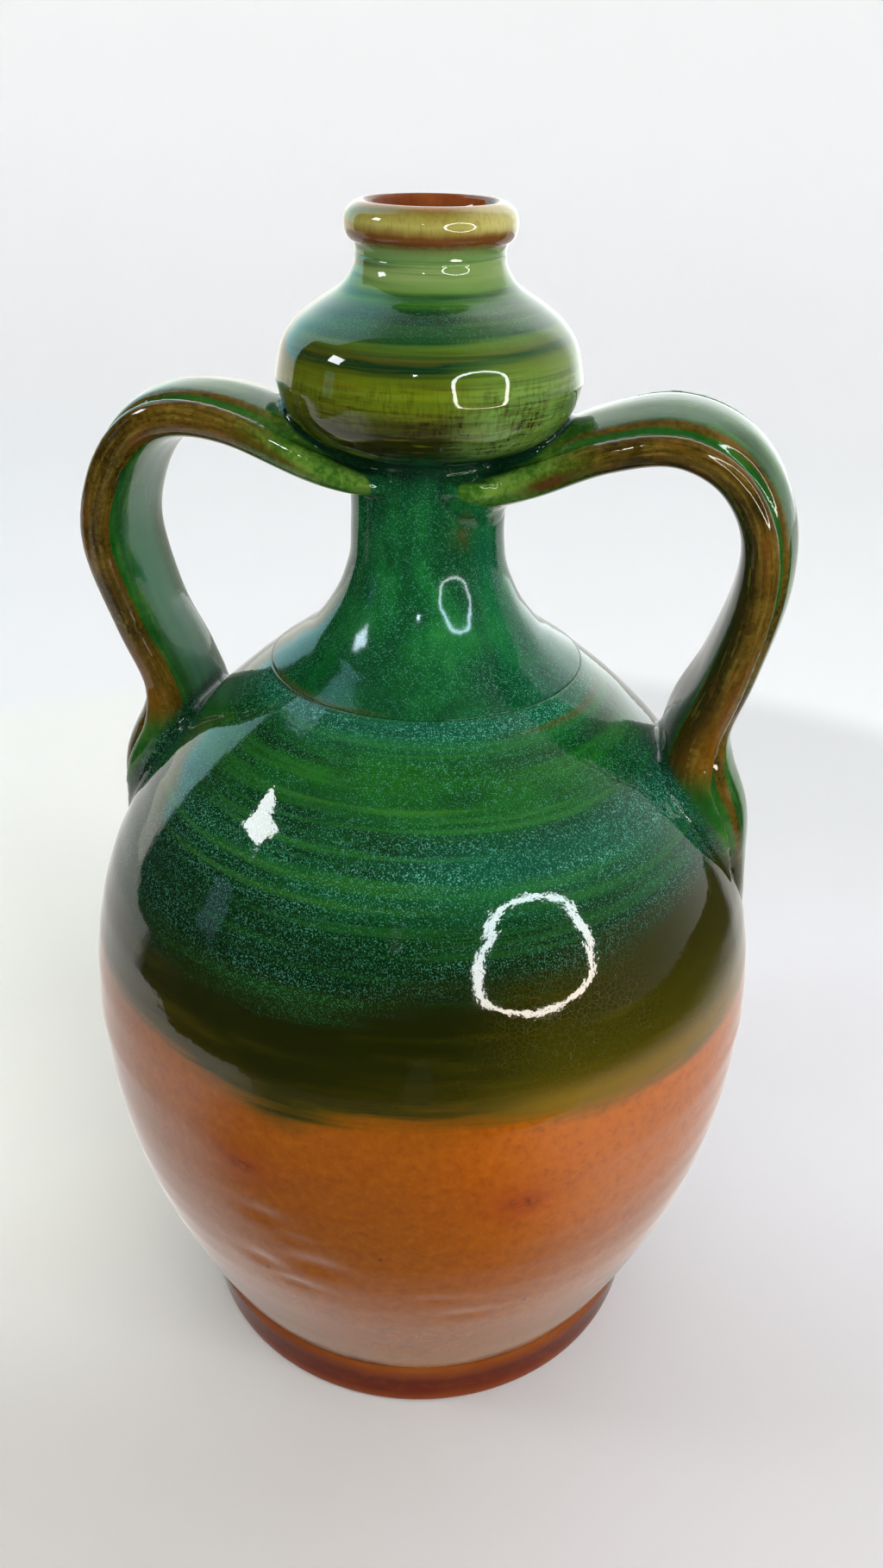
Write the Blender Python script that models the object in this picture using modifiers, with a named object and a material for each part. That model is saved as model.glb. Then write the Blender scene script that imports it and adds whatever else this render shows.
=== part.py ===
"""Two-handled glazed jug with a gourd-shaped neck.

The jug stands on its foot ring at z = 0, with its axis on +Z and its two
strap handles along the X axis. All lengths are in metres.

The pieces are the ones a potter forms and lutes together before firing: the
thrown body, the foot ring, the neck, the hollow bulb above it, the rolled
mouth ring and the two pulled strap handles. A thin slip joint lies between
each piece and the next.
"""

import math

import bmesh
import bpy
from mathutils import Matrix, Vector

# Slip joint left between two luted pieces
SLIP_JOINT = 0.0003

# Points of a turned piece closer than this, such as those on the axis, are one
MERGE_DISTANCE = 0.00002

# Foot ring: the band that the jug stands on
FOOT_HEIGHT = 0.0160
FOOT_RADIUS = 0.0580
FOOT_BAND_RADIUS = 0.0608
FOOT_RING_WIDTH = 0.0095
FOOT_EDGE = 0.0014

# Body: the belly, its floor and its shoulder. Each rise goes on from the one below.
BELLY_RADIUS = 0.0820
BELLY_RISE = 0.0855
BODY_START_RADIUS = 0.0611
BODY_WALL = 0.0055
BODY_FLOOR = 0.0070
BASE_RECESS = 0.0045
SHOULDER_RISE = 0.0837
SHOULDER_RADIUS = 0.0352

# Neck: from the groove on the shoulder to the waist under the bulb
NECK_WALL = 0.0045
NECK_RISE = 0.0466
WAIST_RADIUS = 0.0166

# Bulb: the hollow knob, with the throat above it
BULB_RADIUS = 0.0316
BULB_RISE = 0.0152
THROAT_RADIUS = 0.0150
THROAT_RISE = 0.0235

# Mouth ring: the rolled lip
LIP_RISE = 0.0095
LIP_RADIUS = 0.0171
MOUTH_RADIUS = 0.0130

# Rim edges are eased by this much, which leaves a fine groove at each joint
JOINT_EASE = 0.0006

# Handles: straps pulled from the waist over to the shoulder. They rise above the
# waist, reach out from it, and end in a pad pressed on below the shoulder's groove.
STRAP_WIDTH = 0.0280
STRAP_THICKNESS = 0.0110
HANDLE_RISE = 0.0077
RIGHT_HANDLE_REACH = 0.0564
LEFT_HANDLE_REACH = 0.0539
PAD_DROP = 0.0212
PAD_LENGTH = 0.0455

# Heights of the joints and of the widest places, worked out from the rises
BELLY_HEIGHT = FOOT_HEIGHT + BELLY_RISE
SHOULDER_HEIGHT = BELLY_HEIGHT + SHOULDER_RISE
WAIST_HEIGHT = SHOULDER_HEIGHT + NECK_RISE
BULB_HEIGHT = WAIST_HEIGHT + BULB_RISE
THROAT_HEIGHT = BULB_HEIGHT + THROAT_RISE
JUG_HEIGHT = THROAT_HEIGHT + LIP_RISE
HANDLE_TOP_HEIGHT = WAIST_HEIGHT + HANDLE_RISE
PAD_HEIGHT = SHOULDER_HEIGHT - PAD_DROP

# Facets round a turned piece, and steps between two points of a smooth outline
# on the outside, on the inside, and along a strap
TURN_STEPS = 48
OUTSIDE_STEPS = 2
INSIDE_STEPS = 1
PATH_STEPS = 2

# Outlines as (share of the height, share of the radius) from one named size
# to the next. The first table rises from the foot to the belly, and so on up.
LOWER_BELLY_SHARES = (
    (0.00, 0.00), (0.11, 0.19), (0.24, 0.40), (0.40, 0.63), (0.59, 0.83), (0.79, 0.95), (1.00, 1.00),
)
SHOULDER_SHARES = (
    (0.00, 1.00), (0.19, 0.97), (0.39, 0.88), (0.56, 0.73), (0.73, 0.51), (0.87, 0.27), (1.00, 0.00),
)
NECK_SHARES = (
    (0.00, 1.00), (0.08, 0.72), (0.16, 0.48), (0.30, 0.23), (0.45, 0.07), (0.60, 0.01), (1.00, 0.00),
)
BULB_UNDERSIDE_SHARES = (
    (0.00, 0.00), (0.08, 0.18), (0.15, 0.37), (0.25, 0.56), (0.42, 0.76), (0.66, 0.91), (1.00, 1.00),
)
BULB_TOP_SHARES = (
    (0.00, 1.00), (0.28, 0.91), (0.46, 0.74), (0.60, 0.49), (0.75, 0.17), (0.90, 0.02), (1.00, 0.00),
)
LIP_SHARES = (
    (0.00, 0.48), (0.12, 0.49), (0.21, 0.57), (0.29, 0.80), (0.42, 0.96), (0.63, 1.00),
    (0.82, 0.86), (0.95, 0.52), (1.00, 0.20), (0.93, 0.00),
)

# Section of a strap, as (share of the half width, share of the thickness).
# The outer face runs from the front edge to the middle: a rolled edge, a
# groove, a narrow ridge and then the broad back of the strap.
STRAP_OUTER_SHARES = (
    (1.00, 0.00), (0.97, 0.17), (0.87, 0.26), (0.77, 0.20), (0.70, 0.22), (0.60, 0.36), (0.34, 0.49),
)
STRAP_CREST_SHARE = 0.54
STRAP_INNER_SHARES = ((0.93, -0.20), (0.68, -0.31), (0.34, -0.42))
STRAP_HOLLOW_SHARE = -0.46

# Path of each strap, in three tables: the root pressed round the waist, the free
# arch, and the pad pressed on the shoulder. The first two columns of a root row
# are its place out from and above the waist, and those of a pad row its place out
# from the jug's surface, in strap thicknesses, and its place down the pad. Those of
# an arch row are shares of the reach and of the rise from the pad to the top. The
# other columns are the sideways shift in half widths, the twist in degrees, the
# front and back spread in half widths, the thickness, and how far the section
# wraps round the jug.
RIGHT_ROOT_SHARES = (
    (-0.51, -0.74, -0.12, 0.0, 1.24, 1.12, 0.86, 1.0),
    (0.00, -0.50, -0.12, -3.0, 1.18, 1.08, 0.90, 1.0),
    (0.72, -0.12, -0.11, 1.0, 1.03, 1.02, 0.98, 0.5),
)
RIGHT_ARCH_SHARES = (
    (0.36, 0.96, -0.09, 5.0, 1.00, 1.00, 0.96, 0.0),
    (0.62, 0.995, -0.06, 9.0, 1.00, 1.00, 0.96, 0.0),
    (0.84, 0.925, -0.04, 11.0, 1.00, 1.00, 0.98, 0.0),
    (0.97, 0.77, -0.02, 10.0, 1.00, 1.00, 1.00, 0.0),
    (0.985, 0.57, 0.00, 7.0, 1.00, 1.00, 1.12, 0.0),
    (0.905, 0.32, 0.02, 3.0, 1.00, 1.00, 1.20, 0.0),
)
RIGHT_PAD_SHARES = (
    (1.32, -0.22, 0.03, -2.0, 1.04, 1.04, 1.32, 0.4),
    (0.34, 0.03, 0.03, 0.0, 1.18, 1.18, 1.56, 1.0),
    (-0.03, 0.30, 0.03, 0.0, 1.10, 1.10, 1.50, 1.0),
    (-0.30, 0.56, 0.03, 0.0, 0.82, 0.82, 1.10, 1.0),
    (-0.37, 0.83, 0.03, 0.0, 0.50, 0.50, 0.70, 1.0),
    (-0.31, 1.00, 0.03, 0.0, 0.22, 0.22, 0.40, 1.0),
)
LEFT_ROOT_SHARES = (
    (-0.49, -0.47, -0.32, 0.0, 1.18, 1.12, 0.84, 1.0),
    (0.00, -0.26, -0.32, 6.0, 1.14, 1.08, 0.90, 1.0),
    (0.59, 0.05, -0.32, 6.0, 1.02, 1.02, 0.98, 0.5),
)
LEFT_ARCH_SHARES = (
    (0.4, 0.98, -0.27, 0.0, 1.00, 1.00, 1.02, 0.0),
    (0.65, 0.985, -0.20, -5.0, 1.00, 1.00, 1.04, 0.0),
    (0.82, 0.915, -0.10, -8.0, 1.00, 1.00, 1.04, 0.0),
    (0.945, 0.77, 0.03, -10.0, 1.00, 1.00, 1.00, 0.0),
    (1.0, 0.585, 0.20, -11.0, 0.98, 0.98, 0.96, 0.0),
    (0.935, 0.33, 0.43, -8.0, 0.96, 0.96, 0.96, 0.0),
)
LEFT_PAD_SHARES = (
    (1.30, -0.22, 0.60, -6.0, 1.00, 1.00, 1.06, 0.4),
    (0.35, 0.03, 0.68, 0.0, 1.16, 1.16, 1.48, 1.0),
    (0.06, 0.30, 0.70, 0.0, 1.10, 1.10, 1.46, 1.0),
    (-0.13, 0.56, 0.70, 0.0, 0.82, 0.82, 1.00, 1.0),
    (-0.23, 0.83, 0.70, 0.0, 0.50, 0.50, 0.64, 1.0),
    (-0.22, 1.01, 0.70, 0.0, 0.22, 0.22, 0.36, 1.0),
)

# Glaze colours of the pieces: linear red, green and blue, and roughness
GLAZES = {
    "foot_ring": ((0.110, 0.018, 0.006), 0.16),
    "body": ((0.012, 0.075, 0.036), 0.12),
    "neck": ((0.010, 0.090, 0.045), 0.12),
    "bulb": ((0.040, 0.085, 0.018), 0.12),
    "mouth_ring": ((0.160, 0.130, 0.040), 0.14),
    "right_handle": ((0.060, 0.070, 0.018), 0.12),
    "left_handle": ((0.055, 0.075, 0.018), 0.12),
}


def clear_objects():
    """Remove whatever the scene holds."""
    for thing in list(bpy.data.objects):
        bpy.data.objects.remove(thing, do_unlink=True)


def new_collection(name):
    """Make a collection in the scene."""
    collection = bpy.data.collections.new(name)
    bpy.context.scene.collection.children.link(collection)
    return collection


def glaze(name):
    """Make the glaze material of one piece."""
    colour, roughness = GLAZES[name]
    material = bpy.data.materials.new(name + "_glaze")
    material.use_nodes = True
    shader = material.node_tree.nodes["Principled BSDF"]
    shader.inputs["Base Color"].default_value = (*colour, 1.0)
    shader.inputs["Roughness"].default_value = roughness
    shader.inputs["Metallic"].default_value = 0.0
    material.diffuse_color = (*colour, 1.0)
    return material


def smooth_rows(rows, steps):
    """Pass a smooth curve through rows of numbers, with steps parts to a span."""
    last = len(rows) - 1
    curve = []
    for index in range(last):
        before = rows[max(index - 1, 0)]
        start, end = rows[index], rows[index + 1]
        after = rows[min(index + 2, last)]
        for step in range(steps):
            t = step / steps
            weights = (
                (-t + 2 * t ** 2 - t ** 3) / 2,
                (2 - 5 * t ** 2 + 3 * t ** 3) / 2,
                (t + 4 * t ** 2 - 3 * t ** 3) / 2,
                (-t ** 2 + t ** 3) / 2,
            )
            values = zip(before, start, end, after)
            curve.append(tuple(sum(w * v for w, v in zip(weights, row)) for row in values))
    curve.append(tuple(rows[last]))
    return curve


def span(shares, low, high, inner_radius, outer_radius, steps):
    """Turn a table of shares into (radius, height) points between named sizes."""
    return [
        (inner_radius + (outer_radius - inner_radius) * radius, low + (high - low) * height)
        for height, radius in smooth_rows(shares, steps)
    ]


def offset_outline(points, distance):
    """Move an outline that rises from low to high out from the jug's wall."""
    moved = []
    last = len(points) - 1
    for index, (radius, height) in enumerate(points):
        low = Vector(points[max(index - 1, 0)])
        high = Vector(points[min(index + 1, last)])
        along = (high - low).normalized()
        moved.append((radius + along.y * distance, height - along.x * distance))
    return moved


def eased(end, neighbour, inner):
    """Cut the outer edge of a rim, so that a fine groove shows at its joint."""
    end = Vector(end)
    back = (Vector(neighbour) - end).normalized() * JOINT_EASE
    inwards = (Vector(inner) - end).normalized() * JOINT_EASE
    return tuple(end + back), tuple(end + inwards)


def turned_piece(name, outline, collection, closed):
    """Turn an outline, given down its outer side, about the jug's axis."""
    mesh = bpy.data.meshes.new(name)
    corners = [(radius, 0.0, height) for radius, height in outline]
    edges = [(index, index + 1) for index in range(len(corners) - 1)]
    if closed:
        edges.append((len(corners) - 1, 0))
    mesh.from_pydata(corners, edges, [])
    piece = bpy.data.objects.new(name, mesh)
    collection.objects.link(piece)
    screw = piece.modifiers.new("turn", "SCREW")
    screw.axis = "Z"
    screw.angle = 2 * math.pi
    screw.steps = TURN_STEPS
    screw.render_steps = TURN_STEPS
    screw.use_merge_vertices = True
    screw.merge_threshold = MERGE_DISTANCE
    screw.use_smooth_shade = True
    if name in GLAZES:
        mesh.materials.append(glaze(name))
    return piece


def body_outline(steps):
    """Outer face of the body, from the foot ring up to the groove."""
    start = FOOT_HEIGHT + SLIP_JOINT
    lower = span(LOWER_BELLY_SHARES, start, BELLY_HEIGHT, BODY_START_RADIUS, BELLY_RADIUS, steps)
    upper = span(SHOULDER_SHARES, BELLY_HEIGHT, SHOULDER_HEIGHT, SHOULDER_RADIUS, BELLY_RADIUS, steps)
    return lower + upper[1:]


def neck_outline(steps):
    """Outer face of the neck, from the groove to the waist."""
    return span(NECK_SHARES, SHOULDER_HEIGHT, WAIST_HEIGHT, WAIST_RADIUS, SHOULDER_RADIUS, steps)


def shoulder_joint():
    """Directions in the wall at the groove: up along it, and in across it."""
    below = Vector(body_outline(OUTSIDE_STEPS)[-2])
    above = Vector(neck_outline(OUTSIDE_STEPS)[1])
    upwards = (above - below).normalized()
    return upwards, Vector((-upwards.y, upwards.x))


def bulb_outline(steps):
    """Outer face of the bulb, from the waist over the bulb to the throat."""
    low = WAIST_HEIGHT + SLIP_JOINT
    under = span(BULB_UNDERSIDE_SHARES, low, BULB_HEIGHT, WAIST_RADIUS, BULB_RADIUS, steps)
    over = span(BULB_TOP_SHARES, BULB_HEIGHT, THROAT_HEIGHT, THROAT_RADIUS, BULB_RADIUS, steps)
    return under + over[1:]


def make_foot_ring(collection):
    """Turn the band that carries the body and meets the table."""
    seat = FOOT_BAND_RADIUS - FOOT_RING_WIDTH
    outline = [
        (seat, FOOT_HEIGHT),
        (FOOT_BAND_RADIUS - FOOT_EDGE, FOOT_HEIGHT),
        (FOOT_BAND_RADIUS - FOOT_EDGE / 3, FOOT_HEIGHT - FOOT_EDGE / 2),
        (FOOT_BAND_RADIUS, FOOT_HEIGHT - 2 * FOOT_EDGE),
        (FOOT_BAND_RADIUS - FOOT_EDGE / 2, FOOT_HEIGHT / 2),
        (FOOT_RADIUS + FOOT_EDGE, FOOT_EDGE * 2),
        (FOOT_RADIUS + FOOT_EDGE / 2, FOOT_EDGE / 2),
        (FOOT_RADIUS - FOOT_EDGE / 2, 0.0),
        (seat + FOOT_EDGE, 0.0),
        (seat, FOOT_EDGE),
    ]
    return turned_piece("foot_ring", outline, collection, True)


def make_body(collection):
    """Turn the hollow belly with its floor and the plug inside the foot ring."""
    outer = body_outline(OUTSIDE_STEPS)
    inner = offset_outline(body_outline(INSIDE_STEPS), -BODY_WALL)
    inner[-1] = tuple(Vector(outer[-1]) + shoulder_joint()[1] * BODY_WALL)
    outer[-1:] = eased(outer[-1], outer[-2], inner[-1])
    plug_radius = FOOT_BAND_RADIUS - FOOT_RING_WIDTH - SLIP_JOINT
    floor_height = BASE_RECESS + BODY_FLOOR
    rising = [point for point in inner if point[1] > floor_height + BODY_WALL]
    outline = [(0.0, floor_height), (plug_radius - BODY_WALL / 2, floor_height)]
    outline += rising
    outline += reversed(outer)
    outline += [
        (plug_radius, FOOT_HEIGHT + SLIP_JOINT),
        (plug_radius, BASE_RECESS),
        (0.0, BASE_RECESS),
    ]
    return turned_piece("body", outline, collection, False)


def make_neck(collection):
    """Turn the neck, luted on the shoulder across the slip joint."""
    outer = neck_outline(OUTSIDE_STEPS)
    inner = offset_outline(neck_outline(INSIDE_STEPS), -NECK_WALL)
    upwards, inwards = shoulder_joint()
    start = Vector(outer[0]) + upwards * SLIP_JOINT
    outer[0] = tuple(start)
    inner[0] = tuple(start + inwards * NECK_WALL)
    outer[:1] = reversed(eased(outer[0], outer[1], inner[0]))
    return turned_piece("neck", inner + list(reversed(outer)), collection, True)


def make_bulb(collection):
    """Turn the hollow bulb and the throat, luted on the waist."""
    outer = bulb_outline(OUTSIDE_STEPS)
    low = outer[0][1]
    inner = offset_outline(bulb_outline(INSIDE_STEPS), -NECK_WALL)
    bore = WAIST_RADIUS - NECK_WALL
    hollow = [point for point in inner if point[1] > low + NECK_WALL and point[0] > bore]
    throat = [(THROAT_RADIUS - NECK_WALL, THROAT_HEIGHT)]
    outline = [(bore, low), (bore, low + NECK_WALL / 2)] + hollow[:-1] + throat + list(reversed(outer))
    return turned_piece("bulb", outline, collection, True)


def make_mouth_ring(collection):
    """Turn the rolled lip, luted on the throat."""
    low = THROAT_HEIGHT + SLIP_JOINT
    roll = [
        (MOUTH_RADIUS + (LIP_RADIUS - MOUTH_RADIUS) * radius, low + (JUG_HEIGHT - low) * height)
        for height, radius in smooth_rows(LIP_SHARES, OUTSIDE_STEPS)
    ]
    base = THROAT_RADIUS - NECK_WALL
    outline = [(base, low)] + list(reversed(roll))
    return turned_piece("mouth_ring", outline, collection, True)


def make_seat_cutter(collection):
    """Turn a solid of the jug's outside, grown by the slip joint, for the straps."""
    steps = OUTSIDE_STEPS
    outside = body_outline(steps) + neck_outline(steps)[1:] + bulb_outline(steps)[1:]
    grown = offset_outline(outside, SLIP_JOINT)
    outline = [(0.0, grown[-1][1])] + list(reversed(grown)) + [(0.0, grown[0][1])]
    cutter = turned_piece("strap_seat_cutter", outline, collection, False)
    cutter.display_type = "WIRE"
    cutter.hide_render = True
    return cutter


def strap_section():
    """One section of a strap as shares, round from the front edge and back."""
    outer = [(-across, high) for across, high in STRAP_OUTER_SHARES]
    outer.append((0.0, STRAP_CREST_SHARE))
    outer += [(across, high) for across, high in reversed(STRAP_OUTER_SHARES)]
    inner = list(STRAP_INNER_SHARES) + [(0.0, STRAP_HOLLOW_SHARE)]
    inner += [(-across, high) for across, high in reversed(STRAP_INNER_SHARES)]
    return outer + inner


def body_radius(height):
    """Radius of the body's outer face at a height."""
    outline = body_outline(OUTSIDE_STEPS)
    for (low_radius, low), (high_radius, high) in zip(outline, outline[1:]):
        if low <= height <= high:
            return low_radius + (high_radius - low_radius) * (height - low) / (high - low)
    return outline[-1][0] if height > outline[-1][1] else outline[0][0]


def strap_stations(root_shares, arch_shares, pad_shares, reach):
    """Work out the places and sizes of a strap's sections, from root to pad."""
    rows = []
    for out, up, *sizes in root_shares:
        place = (WAIST_RADIUS + STRAP_THICKNESS * out, WAIST_HEIGHT + STRAP_THICKNESS * up)
        rows.append((*place, *sizes))
    for out, up, *sizes in arch_shares:
        height = PAD_HEIGHT + (HANDLE_TOP_HEIGHT - PAD_HEIGHT) * up
        rows.append((WAIST_RADIUS + reach * out, height, *sizes))
    for out, down, *sizes in pad_shares:
        height = PAD_HEIGHT - PAD_LENGTH * down
        rows.append((body_radius(height) + STRAP_THICKNESS * out, height, *sizes))
    return smooth_rows(rows, PATH_STEPS)


def wrapped(point, centre, wrap):
    """Bend the sideways part of a point round the jug's axis by a share."""
    radius = max(centre.x, WAIST_RADIUS)
    angle = point.y / radius
    out = point.x - (centre.x - radius)
    round_point = Vector((out * math.cos(angle), out * math.sin(angle), point.z))
    round_point.x += centre.x - radius
    return point.lerp(round_point, wrap)


def make_handle(name, stations, side, cutter, collection):
    """Loft a strap through its sections and seat its ends on the jug."""
    section = strap_section()
    last = len(stations) - 1
    shape = bmesh.new()
    rings = []
    for index, station in enumerate(stations):
        out, up, shift, twist, front, back, thick, wrap = station
        before, after = stations[max(index - 1, 0)], stations[min(index + 1, last)]
        along = Vector((after[0] - before[0], 0.0, after[1] - before[1])).normalized()
        across = Vector((0.0, 1.0, 0.0))
        outward = along.cross(across)
        turn = Matrix.Rotation(math.radians(twist), 3, along)
        across, outward = turn @ across, turn @ outward
        centre = Vector((out, 0.0, up))
        middle = Vector((0.0, shift * STRAP_WIDTH / 2, 0.0))
        ring = []
        for sideways, high in section:
            spread = front if sideways < 0 else back
            point = centre + middle
            point = point + across * sideways * spread * STRAP_WIDTH / 2
            point = point + outward * high * thick * STRAP_THICKNESS
            point = wrapped(point, centre, wrap)
            ring.append(shape.verts.new((side * point.x, point.y, point.z)))
        rings.append(ring)
    for ring, following in zip(rings, rings[1:]):
        for index in range(len(ring)):
            neighbour = (index + 1) % len(ring)
            shape.faces.new((ring[index], ring[neighbour], following[neighbour], following[index]))
    shape.faces.new(rings[0])
    shape.faces.new(rings[-1])
    bmesh.ops.recalc_face_normals(shape, faces=shape.faces)
    mesh = bpy.data.meshes.new(name)
    shape.to_mesh(mesh)
    shape.free()
    mesh.materials.append(glaze(name))
    mesh.shade_smooth()
    handle = bpy.data.objects.new(name, mesh)
    collection.objects.link(handle)
    seat = handle.modifiers.new("seat", "BOOLEAN")
    seat.operation = "DIFFERENCE"
    seat.solver = "EXACT"
    seat.object = cutter
    return handle


def build_jug():
    """Make every piece of the jug."""
    clear_objects()
    jug = new_collection("two_handled_jug")
    cutters = new_collection("cutters")
    make_foot_ring(jug)
    make_body(jug)
    make_neck(jug)
    make_bulb(jug)
    make_mouth_ring(jug)
    cutter = make_seat_cutter(cutters)
    right = strap_stations(RIGHT_ROOT_SHARES, RIGHT_ARCH_SHARES, RIGHT_PAD_SHARES, RIGHT_HANDLE_REACH)
    left = strap_stations(LEFT_ROOT_SHARES, LEFT_ARCH_SHARES, LEFT_PAD_SHARES, LEFT_HANDLE_REACH)
    make_handle("right_handle", right, 1, cutter, jug)
    make_handle("left_handle", left, -1, cutter, jug)


build_jug()
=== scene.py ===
# %% [markdown]
# # A two-handled glazed jug
# This lesson dresses the plain solids of a folk jug as fired and glazed pottery. The jug has a
# hollow belly on a foot ring, a flared neck, a gourd-shaped bulb, a rolled mouth and a strap
# handle on each side. The solids give every place and size. Each of them is replaced by a finer
# piece with the marks of the hand, and then gets its glaze.

import math

import bmesh
import bpy
from mathutils import Matrix, Vector, kdtree, noise
from mathutils.bvhtree import BVHTree


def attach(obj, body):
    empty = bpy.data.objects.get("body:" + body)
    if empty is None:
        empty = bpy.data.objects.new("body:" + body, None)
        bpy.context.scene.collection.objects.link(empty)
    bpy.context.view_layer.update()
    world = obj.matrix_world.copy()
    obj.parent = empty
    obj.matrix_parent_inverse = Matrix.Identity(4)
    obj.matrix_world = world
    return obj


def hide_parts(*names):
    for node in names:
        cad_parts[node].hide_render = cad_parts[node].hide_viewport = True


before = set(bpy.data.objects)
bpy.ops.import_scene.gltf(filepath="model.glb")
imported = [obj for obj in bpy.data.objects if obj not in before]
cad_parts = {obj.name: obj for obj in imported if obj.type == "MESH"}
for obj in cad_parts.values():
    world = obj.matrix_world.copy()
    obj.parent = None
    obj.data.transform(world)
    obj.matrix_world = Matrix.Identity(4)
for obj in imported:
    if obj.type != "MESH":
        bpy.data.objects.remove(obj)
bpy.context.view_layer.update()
scene = bpy.context.scene
print("solids:", ", ".join(sorted(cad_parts)))

# %% [markdown]
# ## The camera
# The picture looks down on the jug by about 29 degrees, from a little to the right of its front.
# The place, tilt and focal length were worked out from how the circles of the mouth, the groove
# and the foot appear. The camera comes first, because every later choice is judged through it.

# %% Stand the camera where the picture was taken
CAMERA_PLACE = (0.04191, -0.26923, 0.30408)
CAMERA_TURN = math.radians(8.0)
CAMERA_TILT = math.radians(90.0 - 29.37)
CAMERA_ROLL = math.radians(1.05)
CAMERA_LENS = 29.69

camera_data = bpy.data.cameras.new("camera")
camera_data.lens = CAMERA_LENS
camera_data.sensor_width = 36.0
camera_data.sensor_fit = "AUTO"
camera_data.clip_start = 0.01
camera = bpy.data.objects.new("camera", camera_data)
turned = Matrix.Rotation(CAMERA_TURN, 4, "Z") @ Matrix.Rotation(CAMERA_TILT, 4, "X")
camera.matrix_world = Matrix.Translation(CAMERA_PLACE) @ turned @ Matrix.Rotation(CAMERA_ROLL, 4, "Z")
scene.collection.objects.link(camera)
scene.camera = camera
print("camera", round(Vector(CAMERA_PLACE).length, 3), "m from the foot of the axis")

# %% [markdown]
# ## The jug's outline
# A thrown pot is a solid of revolution, so one outline of radius against height holds most of its
# shape. The outline is written as shares between named sizes, exactly as the solids have it, and a
# smooth curve runs through the rows. More steps to a row give the fine surface that gloss needs.

# %% Sizes of the jug, in metres
SLIP_JOINT = 0.0003
FOOT_HEIGHT = 0.0160
FOOT_RADIUS = 0.0580
FOOT_BAND_RADIUS = 0.0608
FOOT_RING_WIDTH = 0.0095
FOOT_EDGE = 0.0014
BELLY_RADIUS = 0.0820
BELLY_HEIGHT = FOOT_HEIGHT + 0.0855
BODY_START_RADIUS = 0.0611
BODY_WALL = 0.0055
BODY_FLOOR = 0.0070
BASE_RECESS = 0.0045
SHOULDER_HEIGHT = BELLY_HEIGHT + 0.0837
SHOULDER_RADIUS = 0.0352
NECK_WALL = 0.0045
WAIST_HEIGHT = SHOULDER_HEIGHT + 0.0466
WAIST_RADIUS = 0.0166
BULB_HEIGHT = WAIST_HEIGHT + 0.0152
BULB_RADIUS = 0.0316
THROAT_HEIGHT = BULB_HEIGHT + 0.0235
THROAT_RADIUS = 0.0150
JUG_HEIGHT = THROAT_HEIGHT + 0.0095
LIP_RADIUS = 0.0171
MOUTH_RADIUS = 0.0130
JOINT_EASE = 0.00022
JOINT_GAP = 0.00004
print("height of the jug", round(JUG_HEIGHT, 4), "m")

# %% Outlines as shares of the height and of the radius
LOWER_BELLY_SHARES = (
    (0.00, 0.00), (0.11, 0.19), (0.24, 0.40), (0.40, 0.63), (0.59, 0.83), (0.79, 0.95), (1.00, 1.00),
)
SHOULDER_SHARES = (
    (0.00, 1.00), (0.19, 0.97), (0.39, 0.88), (0.56, 0.73), (0.73, 0.51), (0.87, 0.27), (1.00, 0.00),
)
NECK_SHARES = (
    (0.00, 1.00), (0.08, 0.72), (0.16, 0.48), (0.30, 0.23), (0.45, 0.07), (0.60, 0.01), (1.00, 0.00),
)
BULB_UNDERSIDE_SHARES = (
    (0.00, 0.00), (0.08, 0.18), (0.15, 0.37), (0.25, 0.56), (0.42, 0.76), (0.66, 0.91), (1.00, 1.00),
)
BULB_TOP_SHARES = (
    (0.00, 1.00), (0.28, 0.91), (0.46, 0.74), (0.60, 0.49), (0.75, 0.17), (0.90, 0.02), (1.00, 0.00),
)
LIP_SHARES = (
    (0.00, 0.48), (0.12, 0.49), (0.21, 0.57), (0.29, 0.80), (0.42, 0.96), (0.63, 1.00),
    (0.82, 0.86), (0.95, 0.52), (1.00, 0.20), (0.93, 0.00),
)


def smooth_rows(rows, steps):
    """Pass a smooth curve through rows of numbers, with steps parts to a span."""
    last = len(rows) - 1
    curve = []
    for index in range(last):
        before = rows[max(index - 1, 0)]
        start, end = rows[index], rows[index + 1]
        after = rows[min(index + 2, last)]
        for step in range(steps):
            t = step / steps
            weights = (
                (-t + 2 * t ** 2 - t ** 3) / 2,
                (2 - 5 * t ** 2 + 3 * t ** 3) / 2,
                (t + 4 * t ** 2 - 3 * t ** 3) / 2,
                (-t ** 2 + t ** 3) / 2,
            )
            values = zip(before, start, end, after)
            curve.append(tuple(sum(w * v for w, v in zip(weights, row)) for row in values))
    curve.append(tuple(rows[last]))
    return curve


def span(shares, low, high, inner_radius, outer_radius, steps):
    """Turn a table of shares into (radius, height) points between named sizes."""
    return [
        (inner_radius + (outer_radius - inner_radius) * radius, low + (high - low) * height)
        for height, radius in smooth_rows(shares, steps)
    ]


# %% The three parts of the outside
FINE_STEPS = 14
INSIDE_STEPS = 3


def body_outline(steps=FINE_STEPS):
    """Outer face of the belly and shoulder, from the foot ring up to the groove."""
    start = FOOT_HEIGHT + SLIP_JOINT
    lower = span(LOWER_BELLY_SHARES, start, BELLY_HEIGHT, BODY_START_RADIUS, BELLY_RADIUS, steps)
    upper = span(SHOULDER_SHARES, BELLY_HEIGHT, SHOULDER_HEIGHT, SHOULDER_RADIUS, BELLY_RADIUS, steps)
    return lower + upper[1:]


def neck_outline(steps=FINE_STEPS):
    """Outer face of the neck, from the groove to the waist."""
    return span(NECK_SHARES, SHOULDER_HEIGHT, WAIST_HEIGHT, WAIST_RADIUS, SHOULDER_RADIUS, steps)


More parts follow.
